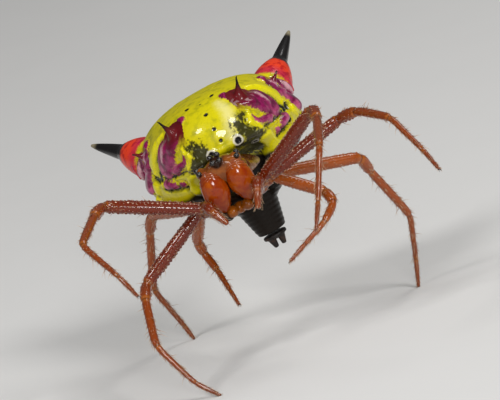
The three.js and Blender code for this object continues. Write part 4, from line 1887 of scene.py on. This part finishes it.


# The abdomen's markings, each as chains of stops, with a stop as (x from the middle plane, y, z, radius).
# Some are painted light: the pale band, rings and ridges are painted highlights; the grooves painted shade.
MARKINGS: dict[str, tuple[tuple[Station, ...], ...]] = {
    "magenta": (
        ((0.74, 1.18, 2.12, 0.19), (1.15, 1.15, 1.8, 0.31), (1.5, 1.48, 1.45, 0.42), (1.7, 1.78, 1.08, 0.33)),
        ((1.1, 0.8, 1.3, 0.04), (1.2, 0.88, 1.05, 0.09), (1.5, 1.35, 0.9, 0.15)),
        ((1.84, 2.8, 1.82, 0.13), (1.99, 2.86, 1.56, 0.2), (2.18, 3.05, 1.25, 0.3), (2.34, 3.3, 0.75, 0.36)),
        ((2.22, 3.7, 1.48, 0.2), (2.36, 4.0, 1.0, 0.22)),
        ((1.86, 2.0, 0.62, 0.19), (1.73, 1.78, 0.56, 0.17)),
        ((1.5, 1.5, 0.5, 0.12), (1.56, 1.6, 0.42, 0.1)),
    ),
    "yolk": (
        (
            (1.38, 1.78, 1.96, 0.1),
            (1.72, 2.08, 1.66, 0.15),
            (1.95, 2.42, 1.28, 0.17),
            (2.02, 2.5, 1.02, 0.12),
        ),
        ((2.16, 2.64, 0.66, 0.17), (2.2, 2.75, 0.5, 0.12)),
        ((2.34, 3.2, 0.25, 0.13), (2.3, 3.3, 0.1, 0.1)),
        ((2.38, 4.1, 0.5, 0.14), (2.3, 4.15, 0.3, 0.12)),
        ((2.34, 4.25, 1.25, 0.05), (2.42, 4.32, 0.95, 0.07)),
        ((1.15, 1.15, 0.5, 0.24), (1.25, 1.45, 0.2, 0.22), (0.9, 1.72, -0.05, 0.12)),
        ((1.08, 0.82, 1.42, 0.07), (0.98, 0.7, 1.15, 0.1), (1.14, 0.9, 0.88, 0.07)),
        ((2.1, 4.75, 0.85, 0.2), (1.95, 4.75, 0.3, 0.14)),
        ((1.35, 4.98, 1.1, 0.24), (1.25, 4.9, 0.4, 0.15)),
        ((0.45, 5.02, 1.15, 0.26), (0.42, 4.95, 0.5, 0.16)),
    ),
    # Grooves between the folds, cut in and painted dark as painted shade
    "grooves": (
        ((1.56, 1.9, 1.82, 0.01), (1.8, 2.06, 1.42, 0.03), (1.9, 2.16, 1.1, 0.06), (1.95, 2.25, 0.82, 0.1)),
        ((1.82, 2.58, 1.85, 0.03), (2.04, 2.72, 1.4, 0.05), (2.12, 2.72, 1.0, 0.08), (2.0, 2.4, 0.78, 0.09)),
        ((2.24, 2.98, 0.75, 0.05), (2.26, 3.0, 0.35, 0.09)),
        ((1.2, 1.0, 0.82, 0.03), (1.55, 1.5, 0.8, 0.07), (1.85, 2.05, 0.8, 0.08)),
        ((1.72, 1.7, 0.45, 0.05), (1.55, 1.5, 0.3, 0.07), (1.95, 2.3, 0.5, 0.08)),
        ((2.38, 3.75, 1.3, 0.03), (2.38, 3.75, 0.85, 0.08), (2.3, 3.75, 0.35, 0.13)),
        ((2.36, 4.45, 0.8, 0.06), (2.2, 4.5, 0.3, 0.12)),
        ((1.75, 4.9, 1.25, 0.07), (1.6, 4.85, 0.35, 0.13)),
        ((0.9, 5.0, 1.5, 0.06), (0.85, 4.95, 0.35, 0.14)),
        ((0.0, 5.0, 1.6, 0.07), (0.0, 5.0, 0.4, 0.14)),
    ),
    # Raised ridges on the patches, painted with pale streaks as a painted highlight
    "ridge": (
        ((1.24, 1.4, 1.88, 0.03), (1.35, 1.44, 1.74, 0.06), (1.48, 1.51, 1.51, 0.06), (1.6, 1.6, 1.3, 0.02)),
        ((2.04, 2.95, 1.64, 0.04), (2.16, 3.0, 1.42, 0.06), (2.26, 3.08, 1.18, 0.03)),
        ((2.2, 3.7, 1.4, 0.04), (2.21, 3.9, 1.2, 0.07), (2.24, 4.01, 0.96, 0.05)),
    ),
    "soot": (
        ((0.9, 0.67, 1.42, 0.1), (0.66, 0.52, 1.3, 0.16), (0.68, 0.56, 1.0, 0.3), (1.05, 0.88, 0.7, 0.22)),
        ((0.4, 0.6, 0.78, 0.2), (0.85, 1.0, 0.55, 0.28), (0.7, 1.4, 0.35, 0.38), (0.0, 1.5, 0.3, 0.4)),
    ),
    # A painted highlight band, laid on the left side only
    "cream": (((0.46, 0.95, 2.04, 0.1), (0.55, 0.64, 1.72, 0.16), (0.36, 0.42, 1.15, 0.14)),),
    # Raised pit rims, painted pale as a painted highlight
    "ring": (((0.4, 0.52, 0.93, 0.165),), ((0.81, 1.0, 0.5, 0.12),)),
    "pit": (
        ((0.4, 0.52, 0.93, 0.1),),
        ((0.81, 1.0, 0.5, 0.09),),
        ((0.0, 0.76, 1.95, 0.065),),
        ((0.0, 0.45, 1.52, 0.06),),
        ((0.0, 0.39, 1.16, 0.055),),
        ((0.39, 1.45, 2.26, 0.06), (0.42, 1.53, 2.27, 0.05)),
        ((0.0, 1.28, 2.22, 0.035),),
        ((0.0, 1.9, 2.33, 0.03),),
        ((0.62, 2.35, 2.33, 0.06),),
        ((0.95, 3.2, 2.28, 0.065),),
        ((0.55, 3.5, 2.33, 0.055),),
        ((0.85, 4.2, 2.2, 0.06),),
        ((0.35, 4.5, 2.15, 0.05),),
        ((1.45, 3.9, 2.1, 0.05),),
    ),
}
# The painted highlight band is laid on one side only.
ONE_SIDED = {"cream"}


@dataclass(frozen=True)
class Relief:
    """How far the parts of the shell stand out or lie in, and a wrinkle's pitch, in millimetres."""

    patch: float = 0.09
    lobe: float = 0.08
    moat: float = 0.05
    groove: float = 0.06
    ridge: float = 0.05
    pit: float = 0.035
    pit_rim: float = 0.006
    ring: float = 0.03
    wrinkle: float = 0.007
    wrinkle_pitch: float = 0.14


@dataclass
class Abdomen(Part):
    """The broad shell of the abdomen with its three pairs of spines, its folds and its markings."""

    x: float = 0.4
    front_half_width: float = 1.5
    rear_half_width: float = 2.3
    shoulder: float = 1.05
    top: float = 2.36
    bottom: float = -1.45
    arch: float = 0.6
    grain: float = 0.038
    powers: Point = (2.4, 3.0, 2.4)
    relief: Relief = Relief()
    walls: tuple[Station, ...] = (
        (0.0, 0.38, 5.0, 1.0),
        (0.1, 0.44, 5.0, 1.06),
        (0.18, 1.0, 4.95, 1.1),
        (0.28, 1.65, 4.85, 1.11),
        (0.45, 1.95, 4.55, 1.06),
        (0.7, 2.1, 4.15, 0.8),
        (1.0, 2.2, 3.9, 0.6),
    )
    cone: tuple[Point, Point, Point] = ((-0.8, 0.72, 3.0), (-1.5, 0.58, 3.0), (-2.15, 0.42, 3.0))
    spines: tuple[Spine, ...] = (
        Spine(root=(1.0, 1.28, 1.68), aim=(0.35, -0.36, 1.0), length=0.88, radius=0.42, flare=2.6, sunk=0.3),
        Spine(root=(1.95, 3.06, 1.4), aim=(0.8, 0.0, 0.68), length=0.56, radius=0.3, flare=2.0, sunk=0.3),
        Spine(
            root=(2.0, 4.45, 1.25),
            aim=(0.56, 0.86, 0.4),
            length=2.55,
            radius=0.35,
            flare=0.72,
            sunk=0.5,
            tip=0.035,
            foot=0.27,
        ),
    )

    def build(self) -> list[Piece]:
        """Makes the abdomen's skin with its markings.

        Returns:
            The skin.
        """
        horns = [self._spine(spine, side) for spine in self.spines for side in Side]
        skin = Bench.fuse("abdomen_skin", [self._shell(), self._cone(), *horns], self.grain, 5)
        self._sharpen(skin)
        distances = self._distances(skin)
        self._mark(skin, distances)
        self._raise(skin, distances)
        turn = self.frames["abdomen"]
        return [Bench.finish(skin, turn, self.finishes.abdomen, Slot.ABDOMEN, "abdomen")]

    def _shell(self) -> Piece:
        """Makes the main form: an arrowhead from above whose walls draw in below.

        Returns:
            The shell.
        """

        def form(ways: Array) -> Array:
            """Shapes a ball into the shell.

            Args:
                ways: The ball's points.

            Returns:
                The shell's points.
            """
            points = square_off(ways, self.powers)
            px, py, pz = points.T
            front, rear, share = station_curve(list(self.walls), np.maximum(0, -pz)).T
            arch = (front - self.walls[0][1]) * self.arch * smooth(0.3, 0.8, np.abs(px))
            y = blend(front - arch, rear, (1 + py) / 2)
            broad = share * blend(self.front_half_width, self.rear_half_width, smooth(-1, 0.5, py))
            above, below = self.top - self.shoulder, self.shoulder - self.bottom
            z = self.shoulder + np.where(pz > 0, pz * above, pz * below)
            return np.stack([self.x + px * broad, y, z], axis=1)

        return Bench.ball("shell", 160, 110, form)

    def _spine(self, spine: Spine, side: Side) -> Piece:
        """Makes one spine as a closed horn.

        Args:
            spine: The spine's sizes.
            side: Its side.

        Returns:
            The horn.
        """
        root, way = self._axis(spine, side)
        up = Vector(way).orthogonal().normalized()
        uppers, sides = np.array([up]), np.array([np.cross(way, np.array(up))])
        foot, tip, closed = 0.1, 0.95, 0.02

        def form(u: Array, v: Array) -> tuple[Array, dict[str, Array]]:
            """Puts each point of the grid on its ring, with both ends drawn to a point.

            Args:
                u: The share of the way round of each point.
                v: Its share of the way along.

            Returns:
                The places, and no numbers to keep.
            """
            along = np.clip((v - foot) / (tip - foot), 0, 1)
            reach = np.where(v < foot, -spine.sunk, np.where(v > tip, spine.length, along * spine.length))
            radius = np.where((v > closed) & (v < 1 - closed), spine.radius_at(along), 0)
            ring = spokes(2 * np.pi * u, uppers, sides) * radius[:, None]
            return root + way * reach[:, None] + ring, {}

        return Bench.wrap("spine", 32, 60, form)

    def _axis(self, spine: Spine, side: Side) -> tuple[Array, Array]:
        """Finds where a spine starts and the way it points.

        Args:
            spine: The spine's sizes.
            side: Its side.

        Returns:
            Its root and its direction.
        """
        way = np.array(side.flip(spine.aim))
        return np.array(side.flip(spine.root)) + np.array((self.x, 0, 0)), way / np.linalg.norm(way)

    def _cone(self) -> Piece:
        """Makes the cone below, which carries the spinnerets.

        Returns:
            The cone.
        """
        joints = [Vector((self.x, y, z)) for z, _, y in self.cone]
        radii = [radius for _, radius, _ in self.cone]
        path = LimbPath(joints, bend=0.3, cap=0.06)
        places = np.linspace(0, path.reaches[-1], len(radii))
        return path.tube("cone", 48, 60, lambda reach: np.interp(reach, places, radii))

    def _sharpen(self, skin: Piece) -> None:
        """Gives the spines back the round taper that smoothing took from their outer parts.

        Args:
            skin: The skin.
        """
        near_by, touch = 0.12, 1e-6
        points = Bench.points(skin)
        for spine in self.spines:
            for side in Side:
                root, way = self._axis(spine, side)
                reach = (points - root) @ way
                along = reach / spine.length
                spoke = points - root - reach[:, None] * way
                far = np.linalg.norm(spoke, axis=1)
                near = (far < spine.radius_at(along) + near_by) & (along > 0.1)
                weight = smooth(0.35, 0.6, along) * near
                wanted = spine.radius_at(along) / np.maximum(far, touch)
                points += spoke * ((wanted - 1) * weight)[:, None]
        Bench.place(skin, points)

    def _folded(self, points: Array) -> Array:
        """Finds places beside the middle plane, both sides as one.

        Args:
            points: The places.

        Returns:
            The places with x from the middle plane outwards.
        """
        folded = points - np.array((self.x, 0, 0))
        folded[:, 0] = np.abs(folded[:, 0])
        return folded

    def _reach(self, spine: Spine, folded: Array, near_by: float = 0.25) -> Array:
        """Finds how far up a spine points lie.

        Args:
            spine: The spine.
            folded: Places beside the middle plane.
            near_by: How far off the spine's surface a point still counts.

        Returns:
            The share of its length for each point, and -1 away from it.
        """
        root, way = self._axis(spine, Side.LEFT)
        root = root - np.array((self.x, 0, 0))
        reach = (folded - root) @ way
        far = np.linalg.norm(folded - root - reach[:, None] * way, axis=1)
        return np.where(far < spine.radius_at(reach / spine.length) + near_by, reach / spine.length, -1)

    def _distances(self, skin: Piece) -> dict[str, Array]:
        """Lays the markings on the skin and measures how far its points are from each.

        Args:
            skin: The skin.

        Returns:
            The distances to the edge of the nearest chain, by the marking's name.
        """
        points = Bench.points(skin)
        beside, folded = points - np.array((self.x, 0, 0)), self._folded(points)
        distances = {}
        for name, chains in MARKINGS.items():
            marks = [Mark(chain).laid_on(skin, self.x) for chain in chains]
            places = beside if name in ONE_SIDED else folded
            distances[name] = np.min([mark.distance(places) for mark in marks], axis=0)
        return distances

    def _mark(self, skin: Piece, distances: dict[str, Array]) -> None:
        """Keeps on the skin what its material reads.

        Args:
            skin: The skin.
            distances: The distances to its markings.
        """
        points = Bench.points(skin)
        folded = self._folded(points)
        height = points[:, 2]
        front, middle, rear = (self._reach(spine, folded) for spine in self.spines)
        notes = {
            **distances,
            "blush": smooth(1.5, 0.9, height),
            "belly": height - 0.14 + 0.18 * smooth(0.5, 2, folded[:, 0]),
            "thorn": np.maximum(front, middle - 0.35),
            "crest": smooth(1.7, 2.15, height),
            "horn": rear,
        }
        for name, values in notes.items():
            Bench.record(skin, name, values)

    def _raise(self, skin: Piece, distances: dict[str, Array]) -> None:
        """Raises the marked patches and lobes, cuts the grooves round them and sinks the pits.

        Args:
            skin: The skin.
            distances: The distances to its markings.
        """
        relief = self.relief
        points = Bench.points(skin)
        folded = self._folded(points)
        z = folded[:, 2]
        patch, lobe, pit, ring = (distances[name] for name in ("magenta", "yolk", "pit", "ring"))
        height = relief.patch * smooth(0.06, -0.16, patch)
        height += relief.lobe * smooth(0.05, -0.1, lobe) * smooth(2.1, 1.8, z)
        height -= relief.moat * hump(patch, 0.05, 0.05) * smooth(2.1, 1.7, z)
        height -= relief.groove * smooth(0.06, -0.05, distances["grooves"])
        height += relief.ridge * smooth(0.09, -0.03, distances["ridge"])
        height -= relief.pit * smooth(0.02, -0.04, pit)
        height += relief.pit_rim * hump(pit, 0.04, 0.03) + relief.ring * hump(ring, -0.05, 0.05)
        height += relief.wrinkle * np.cos(2 * np.pi * z / relief.wrinkle_pitch) * smooth(0.1, -0.5, z)
        on_spine = np.max([self._reach(spine, folded) for spine in self.spines], axis=0)
        plain = smooth(0.25, 0.05, on_spine)
        Bench.place(skin, points + Bench.normals(skin) * (height * plain)[:, None])


@dataclass(frozen=True)
class Nozzle:
    """One spinneret: its place on the plate, how far it leans inwards, its length and its radius."""

    place: tuple[float, float]
    lean: float
    length: float
    radius: float


@dataclass
class Spinnerets(Part):
    """The round plate at the end of the cone, its three pairs of spinnerets and the tubercle behind them."""

    centre: Point = (0.4, 3.0, -2.26)
    plate_radii: Point = (0.36, 0.36, 0.07)
    plate_powers: Point = (2.0, 2.0, 6.0)
    pairs: tuple[Nozzle, ...] = (
        Nozzle((0.15, -0.15), lean=0.7, length=0.34, radius=0.13),
        Nozzle((0.08, 0.02), lean=0.2, length=0.22, radius=0.065),
        Nozzle((0.15, 0.14), lean=0.7, length=0.3, radius=0.11),
    )
    tubercle: Nozzle = Nozzle((0.0, 0.27), lean=0.2, length=0.18, radius=0.08)
    taper: float = 0.5
    grain: float = 0.02

    def build(self) -> list[Piece]:
        """Makes the spinnerets.

        Returns:
            The cluster.
        """
        pieces = [Bench.ball("disc", 48, 24, self._plate)]
        pieces += [self._nozzle(nozzle, side) for side in Side for nozzle in self.pairs]
        pieces.append(self._nozzle(self.tubercle, Side.LEFT))
        piece = Bench.fuse("spinneret_cluster", pieces, self.grain, 2)
        return [Bench.finish(piece, self.frames["abdomen"], self.finishes.dark, Slot.DARK, "spinnerets")]

    def _plate(self, ways: Array) -> Array:
        """The points of a ball as the round plate."""
        return square_off(ways, self.plate_powers) * np.array(self.plate_radii) + np.array(self.centre)

    def _nozzle(self, nozzle: Nozzle, side: Side) -> Piece:
        """Makes one spinneret.

        Args:
            nozzle: Its sizes.
            side: Its side.

        Returns:
            The spinneret.
        """
        x, y, _ = side.flip((*nozzle.place, 0.0))
        root = Vector(self.centre) + Vector((x, y, 0))
        way = Vector((-x * nozzle.lean, -y * nozzle.lean, -1)).normalized()
        length = nozzle.length
        path = LimbPath([root, root + way * length / 2, root + way * length], bend=0.05, cap=0.03)
        return path.tube("nozzle", 24, 40, lambda reach: nozzle.radius * (1 - self.taper * reach / length))


@dataclass
class PhotoCamera:
    """A camera at the photograph's angle and roll, with the body at the same place in view."""

    frames: dict[str, Matrix]
    distance: float = 150.0
    width: float = 13.889
    elevation: float = 11.0
    roll: float = 16.0
    right_shift: float = 0.556
    down_shift: float = 0.417
    sensor: float = 36.0
    clip: tuple[float, float] = (0.001, 20.0)

    def build(self) -> None:
        """Makes the camera."""
        rise, roll = math.radians(self.elevation), math.radians(self.roll)
        level_up = Vector((0, math.sin(rise), math.cos(rise)))
        right = Vector((1, 0, 0)) * math.cos(roll) - level_up * math.sin(roll)
        up = Vector((1, 0, 0)) * math.sin(roll) + level_up * math.cos(roll)
        back = right.cross(up)
        target = self.frames["head"].translation + right * self.right_shift - up * self.down_shift
        bpy.ops.object.camera_add(location=(target + back * self.distance) * MM)
        camera = bpy.context.object
        camera.name = "photo_camera"
        camera.rotation_mode = "QUATERNION"
        camera.rotation_quaternion = Matrix((right, up, back)).transposed().to_quaternion()
        camera.data.sensor_width = self.sensor
        camera.data.lens = self.sensor * self.distance / self.width
        camera.data.clip_start, camera.data.clip_end = self.clip
        bpy.context.scene.camera = camera


@dataclass(frozen=True)
class Lamp:
    """One round soft light: its name, its place and width in metres, and its power in watts."""

    name: str
    place: Point
    width: float
    power: float

    def build(self, target: Point) -> None:
        """Makes the light.

        Args:
            target: The place that it shines at.
        """
        bpy.ops.object.light_add(type="AREA", location=self.place)
        light = bpy.context.object
        light.name = f"{self.name}_light"
        light.data.shape = "DISK"
        light.data.size = self.width
        light.data.energy = self.power
        light.rotation_mode = "QUATERNION"
        light.rotation_quaternion = (Vector(target) - Vector(self.place)).to_track_quat("-Z", "Y")


@dataclass
class Studio:
    """A plain pale floor under soft lights."""

    floor_size: float = 6.0
    floor_colour: Colour = (0.74, 0.73, 0.71)
    shade: float = 0.97
    lamps: tuple[Lamp, ...] = (
        Lamp("right_key", (0.1, -0.13, 0.13), width=0.06, power=0.21),
        Lamp("left_key", (-0.1, -0.1, 0.145), width=0.05, power=0.14),
        Lamp("front", (0.015, -0.2, 0.06), width=0.05, power=0.17),
        Lamp("rim", (0.09, 0.06, 0.16), width=0.07, power=0.07),
    )
    target: Point = (0.0, 0.001, 0.005)
    air: Colour = (0.95, 0.97, 1.0)
    air_strength: float = 0.14

    def build(self) -> None:
        """Makes the floor, the lights and the world."""
        self._floor()
        for lamp in self.lamps:
            lamp.build(self.target)
        world = bpy.data.worlds.new("pale_room")
        bpy.context.scene.world = world
        world.use_nodes = True
        background = world.node_tree.nodes["Background"]
        background.inputs["Color"].default_value = (*self.air, 1.0)
        background.inputs["Strength"].default_value = self.air_strength
        bpy.context.scene.view_settings.view_transform = "Standard"

    def _floor(self) -> None:
        """Makes the floor, of faintly uneven pale paper."""
        bpy.ops.object.select_all(action="DESELECT")
        bpy.ops.mesh.primitive_plane_add(size=self.floor_size)
        floor = bpy.context.object
        floor.name = "floor"
        shader = Shader("floor_paper")
        shaded = tuple(part * self.shade for part in self.floor_colour)
        pale = shader.mix(shader.noise(4.0), self.floor_colour, shaded)
        floor.data.materials.append(shader.finish(Base_Color=pale, Roughness=0.9))


def main() -> None:
    """Builds the spider and its studio in order and reports each piece."""
    logging.basicConfig(level=logging.INFO, format="%(message)s")
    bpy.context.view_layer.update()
    frames = Stance().frames()
    finishes = Finishes()
    Studio().build()
    PhotoCamera(frames).build()
    parts = [kind(frames, finishes) for kind in (Abdomen, Spinnerets, Head)]
    parts += [Leg(frames, finishes, side, order) for side in Side for order in LEG_SIZES]
    for part in parts:
        for piece in part.build():
            log.info("%s: %d faces", piece.name, len(piece.data.polygons))


if __name__ == "__main__":
    main()
